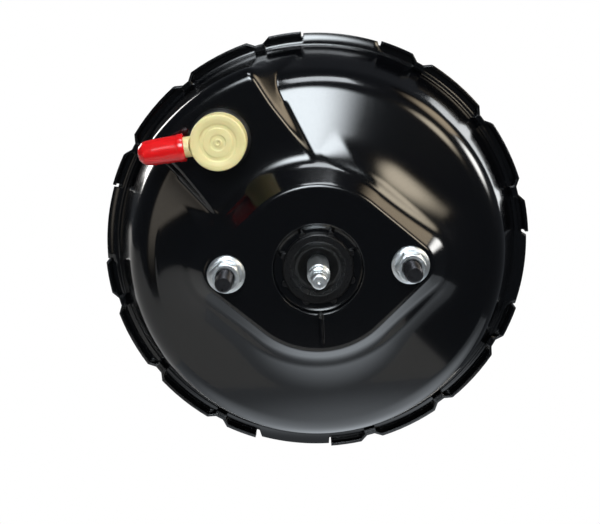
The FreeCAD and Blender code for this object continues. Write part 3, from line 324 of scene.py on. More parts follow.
def smooth_max(a: np.ndarray, b: np.ndarray, width: Width) -> np.ndarray:
    """The larger of two fields, rounded where they meet.

    The larger value plus (width - |a - b|) squared over four widths, where that bracket is above
    zero.

    Args:
        a: First field.
        b: Second field.
        width: Difference over which the change is rounded.

    Returns:
        A field of the same shape.
    """
    width = np.maximum(width, TINY)
    near = np.clip(width - np.abs(a - b), 0, None)
    return np.maximum(a, b) + near ** 2 / (4 * width)


def smooth_min(a: np.ndarray, b: np.ndarray, width: Width) -> np.ndarray:
    """The smaller of two fields, rounded over a width."""
    return -smooth_max(-a, -b, width)


def grid_faces(rows: int, cols: int, closed_rows: bool = False,
               closed_cols: bool = True) -> np.ndarray:
    """Quads of a grid whose point (i, j) has index i * cols + j.

    Args:
        rows: Number of rows.
        cols: Number of columns.
        closed_rows: Whether the last row joins the first.
        closed_cols: Whether the last column joins the first.

    Returns:
        An (n, 4) integer array.
    """
    index = np.arange(rows * cols).reshape(rows, cols)
    down = np.roll(index, -1, 0) if closed_rows else index[1:]
    top = index if closed_rows else index[:-1]
    quads = np.stack([top, down, np.roll(down, -1, 1), np.roll(top, -1, 1)], -1)
    if not closed_cols:
        quads = quads[:, :-1]
    return quads.reshape(-1, 4)


def make_piece(name: str, points: np.ndarray, faces: Sequence,
               sharp: float = 32.0) -> bpy.types.Object:
    """A mesh object from points in millimetres, faces outward, with smooth and sharp edges.

    Args:
        name: Object name.
        points: An (n, 3) array in millimetres.
        faces: A list of index lists or an integer array.
        sharp: Edges that turn by more than this many degrees stay sharp.

    Returns:
        The object, at the origin, unturned and unscaled.
    """
    mesh = bpy.data.meshes.new(name)
    mesh.from_pydata((np.asarray(points) * MM).tolist(), [], [list(map(int, f)) for f in faces])
    mesh.validate()
    work = bmesh.new()
    work.from_mesh(mesh)
    loose = [v for v in work.verts if not v.link_faces]
    bmesh.ops.delete(work, geom=loose, context="VERTS")
    bmesh.ops.recalc_face_normals(work, faces=work.faces)
    work.to_mesh(mesh)
    work.free()
    mesh.polygons.foreach_set("use_smooth", [True] * len(mesh.polygons))
    mesh.set_sharp_from_angle(angle=math.radians(sharp))
    mesh.update()
    piece = bpy.data.objects.new(name, mesh)
    bpy.context.scene.collection.objects.link(piece)
    return piece


def turned_points(profile: np.ndarray, sides: int,
                  radius_field: np.ndarray | None = None) -> Surface:
    """A profile swept round the Y axis: (r cos t, y, r sin t) for evenly spaced angles t.

    Args:
        profile: An (n, 2) array of (radius, y); first and last points on the axis close as poles.
        sides: Number of angles.
        radius_field: Optional (n, sides) array that replaces the radii.

    Returns:
        Points and faces.
    """
    t = np.arange(sides) * TAU / sides
    radius = np.repeat(profile[:, :1], sides, 1) if radius_field is None else radius_field
    height = np.repeat(profile[:, 1:2], sides, 1)
    points = np.stack([radius * np.cos(t), height, radius * np.sin(t)], -1)
    start_pole, end_pole = profile[0, 0] < TINY, profile[-1, 0] < TINY
    body = points[int(start_pole):len(points) - int(end_pole)]
    rows = len(body)
    closed = not (start_pole or end_pole)
    faces = grid_faces(rows, sides, closed_rows=closed).tolist()
    flat = body.reshape(-1, 3)
    ring = np.arange(sides)
    if start_pole:
        flat = np.concatenate([flat, [[0, profile[0, 1], 0]]])
        faces += np.stack([np.full(sides, len(flat) - 1), ring, np.roll(ring, -1)], -1).tolist()
    if end_pole:
        flat = np.concatenate([flat, [[0, profile[-1, 1], 0]]])
        last = (rows - 1) * sides + ring
        faces += np.stack([np.full(sides, len(flat) - 1), np.roll(last, -1), last], -1).tolist()
    return flat, faces


def merged(parts: Sequence[Surface]) -> Surface:
    """Several surfaces as one.

    Args:
        parts: The surfaces, each with its own point numbers.

    Returns:
        One surface with all their points and faces.
    """
    points, faces, offset = [], [], 0
    for part_points, part_faces in parts:
        points.append(part_points)
        faces += [[i + offset for i in face] for face in part_faces]
        offset += len(part_points)
    return np.concatenate(points), faces


# Front shell

@dataclass(frozen=True)
class FrontShellSizes:
    """Driving sizes of the pressed front shell, in millimetres and degrees.

    Paths are rows of (radius, depth, rounding); column spans and wall levels are rows of
    (first, last, count).
    """

    sheet: float = 1.5
    dome: tuple = ((0, 8, 0), (40, 8, 30), (88.9, 22, 15), (101.3, 56.5, 0))
    wall_r: float = 101.3
    length: float = 56.5
    plateau_r: float = 39.5
    plateau_end_r: float = 10.6
    stud_x: float = STUD_X
    plateau_wall: tuple = ((-8, 0, 0), (0, 0, 3), (95, 100, 0))
    crease: float = 11.0
    crease_run: float = 10.0
    crease_drop: float = 22.0
    boss_crease: float = 0.3
    boss_angle: float = 125.5
    boss_depth: float = 11.5
    boss_left: float = 22.7
    boss_right: float = 29.6
    boss_left_flare: float = 0.45
    boss_right_flare: float = 0.7
    boss_skirt: tuple = ((78, 11.5, 0), (97, 11.5, 6), (101, 56.5, 0))
    boss_blend: float = 3.0
    boss_start: float = 10.0
    boss_side_round: float = 2.5
    shoulder_start: float = 78.0
    recess_r: float = 21.0
    recess: float = 4.0
    recess_mid_r: float = 17.5
    recess_round: float = 0.3
    recess_lip: tuple = ((0.0, 0.5), (0.4, 0.05))
    bore_r: float = 15.0
    groove_r: float = 1.2
    groove_ends: tuple = (-19.0, -34.5)
    bend_in: float = 0.15
    bend_out: float = 0.3
    flange_r: float = 103.25
    flange_round: float = 0.2
    lug_r: float = 106.9
    lug_half_angle: float = 10.3
    lug_phase: float = -9.5
    lug_pitch: float = 90.0
    stud_hole_r: float = 4.1
    valve_r: float = VALVE_R
    valve_angle: float = VALVE_ANGLE
    valve_hole_r: float = 9.5
    column_spans: tuple = ((-86, 84, 130), (84, 172, 250), (172, 264, 66), (264, 274, 36))
    wall_levels: tuple = ((-3, 8, 23), (9, 20, 10))
    face_rows: int = 6
    dome_rows: int = 12
    shoulder_count: int = 34


class FrontShell:
    """Pressed dome: plateau, valve boss, recess, side wall, flange and lugs as one closed grid."""

    def __init__(self, sizes: FrontShellSizes = FrontShellSizes()) -> None:
        """Keeps the sizes and works out the dome's and the plateau wall's paths."""
        self.sizes = sizes
        self.base = rounded_path(sizes.dome, step=1.0)
        self.wall_path = rounded_path(sizes.plateau_wall, step=0.2)

    def columns(self) -> np.ndarray:
        """Angles of the grid's columns, closer together across the boss and the drain groove.

        Returns:
            Angle of each column, in radians.
        """
        parts = [np.linspace(*span, endpoint=False) for span in self.sizes.column_spans]
        return np.radians(np.concatenate(parts))

    def edge_distance(self, x: np.ndarray, z: np.ndarray) -> np.ndarray:
        """Distance outside the plateau's outline, the hull of one large and two small circles.

        Args:
            x: Places along X, in millimetres.
            z: Places along Z, in millimetres.

        Returns:
            Distance of each place, below zero inside the outline.
        """
        s = self.sizes
        lean = (s.plateau_r - s.plateau_end_r) / s.stud_x
        flat = math.sqrt(1 - lean ** 2)
        along, across = np.abs(x), np.abs(z)
        reach = -lean * across + flat * along
        near_middle = np.hypot(along, across) - s.plateau_r
        near_end = np.hypot(along - s.stud_x, across) - s.plateau_end_r
        side = across * flat + along * lean - s.plateau_r
        return np.where(reach < 0, near_middle, np.where(reach > flat * s.stud_x, near_end, side))

    def level_radius(self, levels: np.ndarray, angles: np.ndarray) -> np.ndarray:
        """Radius at which each column meets each distance outside the outline, by Newton steps.

        Args:
            levels: Distances outside the plateau's outline.
            angles: Angle of each column, in radians.

        Returns:
            A radius for each level and column.
        """
        start, steps, probe, least_slope = 45.0, 12, 0.01, 0.2
        cos, sin = np.cos(angles), np.sin(angles)
        radius = np.repeat(levels[:, None] + start, len(angles), 1)
        for _ in range(steps):
            here = self.edge_distance(radius * cos, radius * sin)
            ahead = self.edge_distance((radius + probe) * cos, (radius + probe) * sin)
            slope = np.maximum((ahead - here) / probe, least_slope)
            radius = radius - (here - levels[:, None]) / slope
        return radius

    def side_drop(self, x: np.ndarray, z: np.ndarray) -> np.ndarray:
        """How far the boss's leaning sides have fallen below its flat front.

        The distance past a side's edge over that side's flare, rounded at the edge.

        Args:
            x: Places along X, in millimetres.
            z: Places along Z, in millimetres.

        Returns:
            Drop at each place, and a very large one where the boss hasn't started.
        """
        s = self.sizes
        a = math.radians(s.boss_angle)
        along = x * math.cos(a) + z * math.sin(a)
        across = -x * math.sin(a) + z * math.cos(a)
        right = (-s.boss_right - across) / s.boss_right_flare
        left = (across - s.boss_left) / s.boss_left_flare
        drop = smooth_max(np.maximum(right, left), np.zeros_like(right), s.boss_side_round)
        return np.where(along > s.boss_start, drop, FAR)

    def pressed_depth(self, x: np.ndarray, z: np.ndarray, base: np.ndarray) -> np.ndarray:
        """Depth behind the mounting face.

        The rounded smaller value of dome, plateau wall and boss, plus the drain groove.

        Args:
            x: Places along X, in millimetres.
            z: Places along Z, in millimetres.
            base: Depth of the plain dome at each place.

        Returns:
            Depth of the pressed sheet at each place.
        """
        s = self.sizes
        edge = self.edge_distance(x, z)
        wall = np.interp(edge, self.wall_path[:, 0], self.wall_path[:, 1])
        drop = self.side_drop(x, z)
        soft = s.crease * np.clip(edge / s.crease_run, 0, 1)
        soft = soft * np.clip(drop / s.crease_drop, s.boss_crease, 1)
        depth = smooth_min(base, wall, soft)
        depth = smooth_min(depth, s.boss_depth + drop, s.boss_blend)
        inside = (z < s.groove_ends[0]) & (z > s.groove_ends[1])
        groove = np.sqrt(np.clip(s.groove_r ** 2 - x ** 2, 0, None)) * inside
        return depth + groove

    def shoulder_rows(self, angles: np.ndarray) -> Rows:
        """Rows over the shoulder and down the side wall.

        Where the boss stands they are carried out to its skirt, by the share of its height that is
        left.

        Args:
            angles: Angle of each column, in radians.

        Returns:
            Radius and depth of each row and column.
        """
        s = self.sizes
        start = s.shoulder_start
        first = np.array([[start, np.interp(start, self.base[:, 0], self.base[:, 1])]])
        dome = np.concatenate([first, self.base[self.base[:, 0] > start]])
        dome = self.resampled(dome, s.shoulder_count)
        skirt = self.resampled(rounded_path(s.boss_skirt, step=0.5), s.shoulder_count)
        drop = self.side_drop(dome[:, :1] * np.cos(angles), dome[:, :1] * np.sin(angles))
        share = np.clip(1 - drop / (dome[:, 1:] - s.boss_depth), 0, 1)
        radius = dome[:, :1] * (1 - share) + skirt[:, :1] * share
        depth = dome[:, 1:] * (1 - share) + skirt[:, 1:] * share
        return radius, depth

    @staticmethod
    def resampled(path: np.ndarray, count: int, growth: float = 1.5) -> np.ndarray:
        """The path at evenly growing steps along its length, closer together near its start.

        Args:
            path: Rows of (radius, depth).
            count: Number of points wanted.
            growth: Power by which the steps grow.

        Returns:
            An (n, 2) array of points on the same path.
        """
        length = np.concatenate([[0], np.cumsum(np.linalg.norm(np.diff(path, axis=0), axis=1))])
        t = np.linspace(0, 1, count) ** growth * length[-1]
        return np.stack([np.interp(t, length, path[:, 0]), np.interp(t, length, path[:, 1])], -1)

    def outer_rows(self, angles: np.ndarray) -> Rows:
        """Radius and depth of every row on the outside, from the bore's edge to the flange.

        Args:
            angles: Angle of each column, in radians.

        Returns:
            Radius and depth of each row and column.
        """
        s = self.sizes
        recess = [(s.bore_r, s.recess), (s.recess_mid_r, s.recess),
                  (s.recess_r - s.recess_round, s.recess), (s.recess_r, s.recess - s.recess_round)]
        recess += [(s.recess_r + run, below) for run, below in s.recess_lip]
        ones = np.ones(len(angles))
        radius = [r * ones for r, _ in recess]
        depth = [d * ones for _, d in recess]
        levels = np.concatenate([np.linspace(*span) for span in s.wall_levels])
        walls = list(self.level_radius(levels, angles))
        start, inner, edge = s.recess_r + 1, walls[0], walls[-1]
        shares = np.linspace(0, 1, s.face_rows, endpoint=False)
        face = [start + (inner - start) * t for t in shares]
        shares = np.linspace(0, 1, s.dome_rows, endpoint=False)[1:]
        dome = [edge + (s.shoulder_start - edge) * t for t in shares]
        for row in face + walls + dome:
            base = np.interp(row, self.base[:, 0], self.base[:, 1])
            radius.append(row)
            depth.append(self.pressed_depth(row * np.cos(angles), row * np.sin(angles), base))
        low_r, low_d = self.shoulder_rows(angles)
        radius += list(low_r[:-1])
        depth += list(low_d[:-1])
        radius.append((s.wall_r - s.bend_in) * ones)
        depth.append((s.length - s.sheet) * ones)
        return np.array(radius), np.array(depth)

    def flange_rows(self, angles: np.ndarray) -> Rows:
        """The flange's edge, out to a lug in each gap of the rim.

        Args:
            angles: Angle of each column, in radians.

        Returns:
            Radius and depth of each row and column.
        """
        s = self.sizes
        half = s.lug_pitch / 2
        turn = (np.degrees(angles) - s.lug_phase + half) % s.lug_pitch - half
        edge = np.where(np.abs(turn) < s.lug_half_angle, s.lug_r, s.flange_r)
        ones = np.ones(len(angles))
        top, back, corner = s.length - s.sheet, s.length, s.flange_round
        radius = [(s.wall_r + s.bend_out) * ones, edge - corner, edge, edge, edge - corner,
                  (s.wall_r - s.sheet) * ones]
        depth = [d * ones for d in (top, top, top + corner, back - corner, back, back)]
        return np.array(radius), np.array(depth)

    def skins(self, angles: np.ndarray) -> tuple[np.ndarray, np.ndarray, np.ndarray]:
        """Outer skin, flange and inner skin.

        The inner skin is the outer one moved back along its normals by the sheet.

        Args:
            angles: Angle of each column, in radians.

        Returns:
            Three grids of points, in millimetres.
        """
        radius, depth = self.outer_rows(angles)
        outer = np.stack([radius * np.cos(angles), FACE_Y + depth, radius * np.sin(angles)], -1)
        down = np.gradient(outer, axis=0)
        around = (np.roll(outer, -1, 1) - np.roll(outer, 1, 1)) / 2
        normal = np.cross(down, around)
        normal /= np.maximum(np.linalg.norm(normal, axis=-1, keepdims=True), 1e-9)
        normal *= np.sign(normal[len(normal) // 2, 0, 1])
        inner = outer + normal * self.sizes.sheet
        inner[0, :, 0] = self.sizes.bore_r * np.cos(angles)
        inner[0, :, 2] = self.sizes.bore_r * np.sin(angles)
        radius, depth = self.flange_rows(angles)
        flange = np.stack([radius * np.cos(angles), FACE_Y + depth, radius * np.sin(angles)], -1)
        return outer, flange, inner[:-1]

    def holes(self) -> list[tuple[float, float, float]]:
        """Centres and radii of the holes that other pieces pass through.

        Returns:
            Rows of (x, z, radius), in millimetres.
        """
        s = self.sizes
        a = math.radians(s.valve_angle)
        return [(s.stud_x, 0.0, s.stud_hole_r), (-s.stud_x, 0.0, s.stud_hole_r),
                (s.valve_r * math.cos(a), s.valve_r * math.sin(a), s.valve_hole_r)]

    def punched(self, outer: np.ndarray, flange: np.ndarray, inner: np.ndarray) -> Surface:
        """Leaves out the quads inside each hole and walls the hole.

        The points on a hole's edge move straight away from its centre onto its circle.

        Args:
            outer: Grid of the outer skin, changed in place.
            flange: Grid of the flange.
            inner: Grid of the inner skin, changed in place.

        Returns:
            The whole shell.
        """
        rows = len(inner)
        cols = outer.shape[1]
        total = len(outer) + len(flange) + rows
        keep = np.ones((rows - 1, cols), bool)
        upper, lower = outer[:rows - 1], outer[1:rows]
        for x, z, radius in self.holes():
            centre = (upper + lower + np.roll(upper, -1, 1) + np.roll(lower, -1, 1)) / 4
            gone = np.hypot(centre[..., 0] - x, centre[..., 2] - z) < radius
            keep &= ~gone
            touched = np.zeros((rows, cols), bool)
            for shift_row, shift_col in ((0, 0), (1, 0), (0, 1), (1, 1)):
                touched[shift_row:rows - 1 + shift_row] |= np.roll(gone, shift_col, 1)
            for skin in (outer[:rows], inner):
                away = np.stack([skin[..., 0] - x, skin[..., 2] - z], -1)
                size = np.maximum(np.linalg.norm(away, axis=-1), TINY)
                skin[..., 0] = np.where(touched, x + away[..., 0] / size * radius, skin[..., 0])
                skin[..., 2] = np.where(touched, z + away[..., 1] / size * radius, skin[..., 2])
        points = np.concatenate([outer, flange, inner[::-1]]).reshape(-1, 3)
        quads = grid_faces(total, cols, closed_rows=True).reshape(total, cols, 4)
        mask = np.ones((total, cols), bool)
        mask[:rows - 1] = keep
        mask[total - rows:total - 1] = keep[::-1]
        faces = [quads[mask]]
        index = np.arange(rows * cols).reshape(rows, cols)
        mirror = (total - 1 - np.arange(rows))[:, None] * cols + np.arange(cols)
        beside = keep != np.roll(keep, 1, 1)
        i, j = np.nonzero(beside)
        faces.append(np.stack([index[i, j], index[i + 1, j], mirror[i + 1, j], mirror[i, j]], -1))
        above = keep[1:] != keep[:-1]
        i, j = np.nonzero(above)
        k = (j + 1) % cols
        faces.append(np.stack([index[i + 1, j], index[i + 1, k],
                               mirror[i + 1, k], mirror[i + 1, j]], -1))
        return points, np.concatenate(faces)

    def build(self, wardrobe: Wardrobe) -> bpy.types.Object:
        """Makes the shell, riding on the housing.

        Args:
            wardrobe: The finishes to dress it with.

        Returns:
            The shell's object.
        """
        points, faces = self.punched(*self.skins(self.columns()))
        piece = make_piece("front_dome", points, faces, sharp=62)
        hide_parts("front_shell")
        wardrobe.dress(piece, Slot.BLACK_PAINT)
        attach(piece, Body.HOUSING.value)
        return piece


# Studs with threads

@dataclass(frozen=True)
class StudSizes:
    """Sizes of a set of headed studs, in millimetres.

    The head bears on the plane, and the direction is the shank's sign along Y.
    """

    places: tuple
    plane: float
    seat: float
    length: float
    direction: float
    radius: float = 3.98
    pitch: float = 1.25
    depth: float = 0.62
    head_r: float = 7.5
    head: float = 3.0
    head_chamfer: float = 0.5
    shoulder_r: float = 5.0
    shoulder_step: float = 0.02
    chamfer: float = 0.8
    thread_start: float = 1.6
    thread_lead: float = 0.3
    rows_per_turn: int = 8


class StudSet:
    """Headed studs with a real helical thread."""

    def __init__(self, name: str, node: str, sizes: StudSizes) -> None:
        """Keeps the names and the sizes."""
        self.name, self.node, self.sizes = name, node, sizes

    def one(self, sides: int = 32) -> Surface:
        """One stud along Y, with its head's plane at the set's plane.

        Its radius is the profile's less the thread's depth times a triangle wave of (height / pitch
        - turn).

        Args:
            sides: Number of points round each ring.

        Returns:
            The stud.
        """
        s = self.sizes
        rise = s.seat - s.plane
        run = np.arange(s.thread_start, s.length, s.pitch / s.rows_per_turn)
        body = np.concatenate([[0.0, s.thread_start - s.thread_lead], run, [s.length]])
        head = np.array([(0, -s.head), (s.head_r - s.head_chamfer, -s.head),
                         (s.head_r, -s.head + s.head_chamfer), (s.head_r, 0), (s.shoulder_r, 0),
                         (s.shoulder_r, rise), (s.radius, rise)])
        shank = np.stack([np.full(len(body), s.radius), body + rise + s.shoulder_step], -1)
        profile = np.concatenate([head, shank, [[0, s.length + rise + s.shoulder_step]]])
        turn = np.arange(sides) / sides
        above = profile[:, 1:] - rise
        phase = (above / s.pitch - turn) % 1.0
        wave = np.abs(phase * 2 - 1)
        fade = np.clip((above - s.thread_start) / s.pitch, 0, 1)
        end = np.clip((above - s.length + s.chamfer) / s.chamfer, 0, 1)
        radius = profile[:, :1] - s.depth * wave * fade * (profile[:, :1] > 1)
        radius = np.minimum(radius, np.where(end > 0, s.radius - s.chamfer * end, FAR))
        radius[0], radius[-1] = 0, 0
        points, faces = turned_points(profile, sides, radius)
        points[:, 1] = s.plane + points[:, 1]
        return points, faces

    def build(self, wardrobe: Wardrobe) -> bpy.types.Object:
        """Places a copy at each stud's centre, turned to face forward or back.

        Args:
            wardrobe: The finishes to dress it with.

        Returns:
            The object with all the set's studs.
        """
        points, faces = self.one()
        parts = []
        for x, z in self.sizes.places:
            placed = points * np.array([1.0, self.sizes.direction, 1.0])
            parts.append((placed + np.array([x, 0, z]), faces))
        piece = make_piece(self.name, *merged(parts), sharp=28)
        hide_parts(self.node)
        wardrobe.dress(piece, Slot.BLACK_STEEL)
        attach(piece, Body.HOUSING.value)
        return piece


@dataclass(frozen=True)
class NutSizes:
    """Sizes of the two flange nuts on the mounting face, in millimetres and degrees."""

    stud_x: float = STUD_X
    turns: tuple = (11.25, 26.25)
    flat: float = 13.0
    height: float = 8.0
    hole_r: float = 4.03
    flange_r: float = 8.9
    flange: float = 1.2
    flange_round: float = 0.2
    slope_run: float = 0.4
    slope_rise: float = 0.35
    foot_r: float = 7.6
    foot: float = 2.2
    foot_gap: float = 0.1
    mouth: float = 0.6
    crown: float = 0.9
    crown_rows: int = 5
    chamfer_r: float = 6.1
    chamfer_slope: float = 1.73


class NutSet:
    """Hexagon nuts with a round flange and a chamfered top."""

    def __init__(self, sizes: NutSizes = NutSizes()) -> None:
        """Keeps the sizes."""
        self.sizes = sizes

    def one(self, turn: float, sides: int = 96) -> Surface:
        """One nut, seated on the mounting face.

        Its radius is half the flat over the cosine of the angle from a flat's middle, held inside
        the chamfer's cone.

        Args:
            turn: Angle of one flat's middle, in degrees.
            sides: Number of points round each ring.

        Returns:
            The nut.
        """
        s = self.sizes
        plain = [(s.hole_r, 0.0), (s.flange_r - s.flange_round, 0.0), (s.flange_r, s.flange_round),
                 (s.flange_r, s.flange), (s.flange_r - s.slope_run, s.flange + s.slope_rise),
                 (s.foot_r, s.foot - s.foot_gap)]
        mouth = [(s.hole_r + s.mouth, s.height), (s.hole_r, s.height - s.mouth)]
        crown = np.linspace(s.height - s.crown, s.height, s.crown_rows)
        heights = np.concatenate([[s.foot], crown])
        angle = np.degrees(np.arange(sides) * TAU / sides)
        hexagon = s.flat / 2 / np.cos(np.radians((angle - turn + 30) % 60 - 30))
        cone = s.chamfer_r + (s.height - heights[:, None]) * s.chamfer_slope
        sixes = np.minimum(hexagon[None], cone)
        below, above = (np.full((len(rows), sides), np.array(rows)[:, :1])
                        for rows in (plain, mouth))
        radius = np.concatenate([below, sixes, above])
        level = np.concatenate([[h for _, h in plain], heights, [h for _, h in mouth]])
        profile = np.stack([radius[:, 0], FACE_Y - level], -1)
        return turned_points(profile, sides, radius)

    def build(self, wardrobe: Wardrobe) -> bpy.types.Object:
        """Places one nut over each stud.

        Args:
            wardrobe: The finishes to dress it with.

        Returns:
            The object with both nuts.
        """
        parts = []
        for side, turn in zip((-1.0, 1.0), self.sizes.turns):
            points, faces = self.one(turn)
            parts.append((points + np.array([side * self.sizes.stud_x, 0, 0]), faces))
        piece = make_piece("flange_nuts", *merged(parts), sharp=24)
        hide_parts("master_cylinder_nuts")
        wardrobe.dress(piece, Slot.ZINC_PLATE)
        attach(piece, Body.HOUSING.value)
        return piece


# Check valve

@dataclass(frozen=True)
class ValveSizes:
    """Sizes of the check valve's visible pieces, in millimetres and degrees.

    The band and the tip of the cap are rows of (step in radius, distance from the mouth or the
    end, rounding), and the cover's rings are rows of (radius, depth behind the front, rounding).
    """

    radius: float = VALVE_R
    angle: float = VALVE_ANGLE
    nipple_angle: float = 186.0
    nipple_y: float = -105.0
    cap_r: float = 6.4
    cap_wall: float = 1.0
    cap_start: float = 15.4
    cap_length: float = 21.4
    cap_lip: float = 1.5
    cap_roll: float = 0.45
    cap_band: tuple = ((0.0, 2.6, 0.4), (-0.25, 3.4, 0.4))
    cap_tip: tuple = ((-0.5, 7.0, 6.0), (-1.0, 2.6, 3.0), (-3.4, 0.0, 4.0))
    cap_end_wall: float = 1.6
    cap_bore_step: float = 0.8
    cap_bore_round: float = 1.0
    cover_r: float = 12.9
    cover_back: float = -106.8
    cover: float = 2.8
    cover_rings: tuple = ((0.0, 0.9, 0.0), (0.7, 0.9, 0.0), (0.9, 0.5, 0.0), (1.7, 0.5, 0.1),
                          (1.9, 0.95, 0.1), (3.4, 0.95, 0.2), (3.7, 0.55, 0.15), (6.6, 0.55, 0.15),
                          (6.9, 0.9, 0.15), (8.2, 0.9, 0.2), (8.7, 0.35, 0.2), (10.6, 0.0, 0.3))
    cover_edge: float = 0.1
    cover_round: float = 0.8
    chamber_r: float = 9.55
    spigot: float = 1.0
    spigot_wall: float = 1.2
    wall: float = 1.8


class CheckValve:
    """Cover with moulded rings and the pull-off cap."""

    def __init__(self, sizes: ValveSizes = ValveSizes()) -> None:
        """Keeps the sizes and works out the valve's middle."""
        self.sizes = sizes
        a = math.radians(sizes.angle)
        self.centre = np.array([sizes.radius * math.cos(a), 0, sizes.radius * math.sin(a)])

    def on_nipple(self, points: np.ndarray) -> np.ndarray:
        """Turns points made along Y onto the nipple's line.

        Y becomes the direction at the nipple's angle, X lies across it and Z points forward.

        Args:
            points: Rows of (x, y, z), in millimetres.

        Returns:
            The same points in the part's place.
        """
        a = math.radians(self.sizes.nipple_angle)
        out = np.array([math.cos(a), 0, math.sin(a)])
        side = np.array([-math.sin(a), 0, math.cos(a)])
        up = np.array([0, -1.0, 0])
        placed = points[:, 1:2] * out + points[:, :1] * side + points[:, 2:3] * up
        return placed + self.centre + np.array([0, self.sizes.nipple_y, 0])

    def cap(self, wardrobe: Wardrobe) -> bpy.types.Object:
        """Vinyl cap with a rolled mouth, a little waist and a round tip.

        Args:
            wardrobe: The finishes to dress it with.

        Returns:
            The cap's object.
        """
        s = self.sizes
        start, end = s.cap_start, s.cap_start + s.cap_length
        inner = s.cap_r - s.cap_wall
        lip, floor = start + s.cap_lip, end - s.cap_end_wall
        band = [(s.cap_r + step, start + along, bend) for step, along, bend in s.cap_band]
        tip = [(s.cap_r + step, end - along, bend) for step, along, bend in s.cap_tip]
        outer = rounded_path([(inner, lip, 0), (inner, start, s.cap_roll),
                              (s.cap_r, start, s.cap_roll), *band, *tip, (0, end, 0)])
        bore = rounded_path([(0, floor, 0), (inner - s.cap_bore_step, floor, s.cap_bore_round),
                             (inner, lip, 0)])
        profile = np.concatenate([bore[:-1], outer])
        points, faces = turned_points(profile, sides=56)
        piece = make_piece("vinyl_cap", self.on_nipple(points), faces, sharp=45)
        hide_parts("nipple_cap")
        wardrobe.dress(piece, Slot.RED_VINYL)
        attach(piece, Body.CAP.value)
        return piece

    def cover(self, wardrobe: Wardrobe) -> bpy.types.Object:
        """Cover disc: raised rim, a shallow dish with one ring in it, and a small centre pip.

        Args:
            wardrobe: The finishes to dress it with.

        Returns:
            The cover's object.
        """
        s = self.sizes
        back, front = s.cover_back, s.cover_back - s.cover
        rings = [(radius, front + depth, bend) for radius, depth, bend in s.cover_rings]
        spigot_r, inside = s.chamber_r - s.spigot_wall, front + s.wall
        face = rounded_path([*rings, (s.cover_r - s.cover_edge, front, s.cover_round),
                             (s.cover_r, back, 0), (s.chamber_r, back, 0),
                             (s.chamber_r, back + s.spigot, 0), (spigot_r, back + s.spigot, 0),
                             (spigot_r, inside, 0), (0, inside, 0)], step=0.15)
        points, faces = turned_points(face, sides=72)
        piece = make_piece("valve_cover_disc", points + self.centre, faces, sharp=34)
        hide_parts("check_valve_cover")
        wardrobe.dress(piece, Slot.IVORY_PLASTIC)
        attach(piece, Body.CHECK_VALVE.value)
        return piece

    def build(self, wardrobe: Wardrobe) -> list[bpy.types.Object]:
        """Builds the cover and the cap."""
        return [self.cover(wardrobe), self.cap(wardrobe)]


# Rubber and springs

@dataclass(frozen=True)
class BootSizes:
    """Sizes of the dust boot, in millimetres.

    The bands of the collar and the lip are rows of (step in radius, distance, rounding).
    """

    mouth_r: float = 29.2
    lip_r: float = 6.2
    wall: float = 1.4
    wall_share: float = 0.8
    front: float = 8.0
    collar: float = 27.0
    folds: int = 5
    taper: float = 1.6
    taper_start: float = 0.1
    collar_step: float = 2.0
    lip_gap: float = 3.0
    fold_depth: float = 4.5
    fold_square: float = 0.8
    fold_rows: int = 141
    collar_band: tuple = ((0.0, 4.2, 0.3), (-0.5, 5.0, 0.3), (-0.5, 8.0, 0.3), (0.0, 8.8, 0.3))
    end: float = 103.0
    lip_front: tuple = ((0.0, 2.0, 0.3), (-0.35, 2.6, 0.2))
    lip_rear: tuple = ((-0.35, 2.2, 0.2), (0.0, 1.6, 0.3))
    rear: float = 110.0


class DustBoot:
    """Folded boot."""

    def __init__(self, sizes: BootSizes = BootSizes()) -> None:
        """Keeps the sizes."""
        self.sizes = sizes

    def outer_profile(self) -> np.ndarray:
        """Outer side of the boot.

        The mean radius falls from mouth to lip as a power of the share of the length, and each fold
        adds a cosine that is a little squared off.

        Returns:
            An (n, 2) array of (radius, y).
        """
        s = self.sizes
        start, end = s.collar + s.collar_step, s.end - s.lip_gap
        t = np.linspace(0, 1, s.fold_rows)
        drop = s.lip_r + s.fold_depth / 2 + 2 - s.mouth_r
        share = t * (1 - s.taper_start) + s.taper_start
        mean = s.mouth_r + drop * share ** s.taper
        wave = -np.cos(TAU * s.folds * t)
        wave = np.sign(wave) * np.abs(wave) ** s.fold_square * s.fold_depth / 2
        folds = np.stack([mean + wave, start + (end - start) * t], -1)
        band = [(s.mouth_r + step, s.front + along, bend) for step, along, bend in s.collar_band]
        collar = rounded_path([(s.mouth_r, s.front, 0), *band, (s.mouth_r, s.collar, 0)], step=0.4)
        front = [(s.lip_r + step, s.end + along, bend) for step, along, bend in s.lip_front]
        rear = [(s.lip_r + step, s.rear - along, bend) for step, along, bend in s.lip_rear]
        lip = rounded_path([(s.lip_r, s.end, 0), *front, *rear, (s.lip_r, s.rear, 0)], step=0.3)
        return np.concatenate([collar, folds, lip])

    def build(self, wardrobe: Wardrobe) -> bpy.types.Object:
        """Sweeps the outer side and the same side set in by the wall.

        Args:
            wardrobe: The finishes to dress it with.

        Returns:
            The boot's object.
        """
        s = self.sizes
        outer = self.outer_profile()
        along = np.gradient(outer, axis=0)
        size = np.maximum(np.linalg.norm(along, axis=1, keepdims=True), TINY)
        normal = np.stack([along[:, 1], -along[:, 0]], -1) / size
        inner = outer - normal * s.wall * s.wall_share
        inner[:, 1] = np.clip(inner[:, 1], s.front, s.rear)
        inner[:, 0] = np.maximum(inner[:, 0], s.lip_r - s.wall)
        profile = np.concatenate([outer, inner[::-1]])
        points, faces = turned_points(profile, sides=96)
        piece = make_piece("boot_bellows", points, faces, sharp=40)
        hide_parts("dust_boot")
        wardrobe.dress(piece, Slot.BLACK_RUBBER)
        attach(piece, Body.HOUSING.value)
        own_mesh(piece)
        return piece


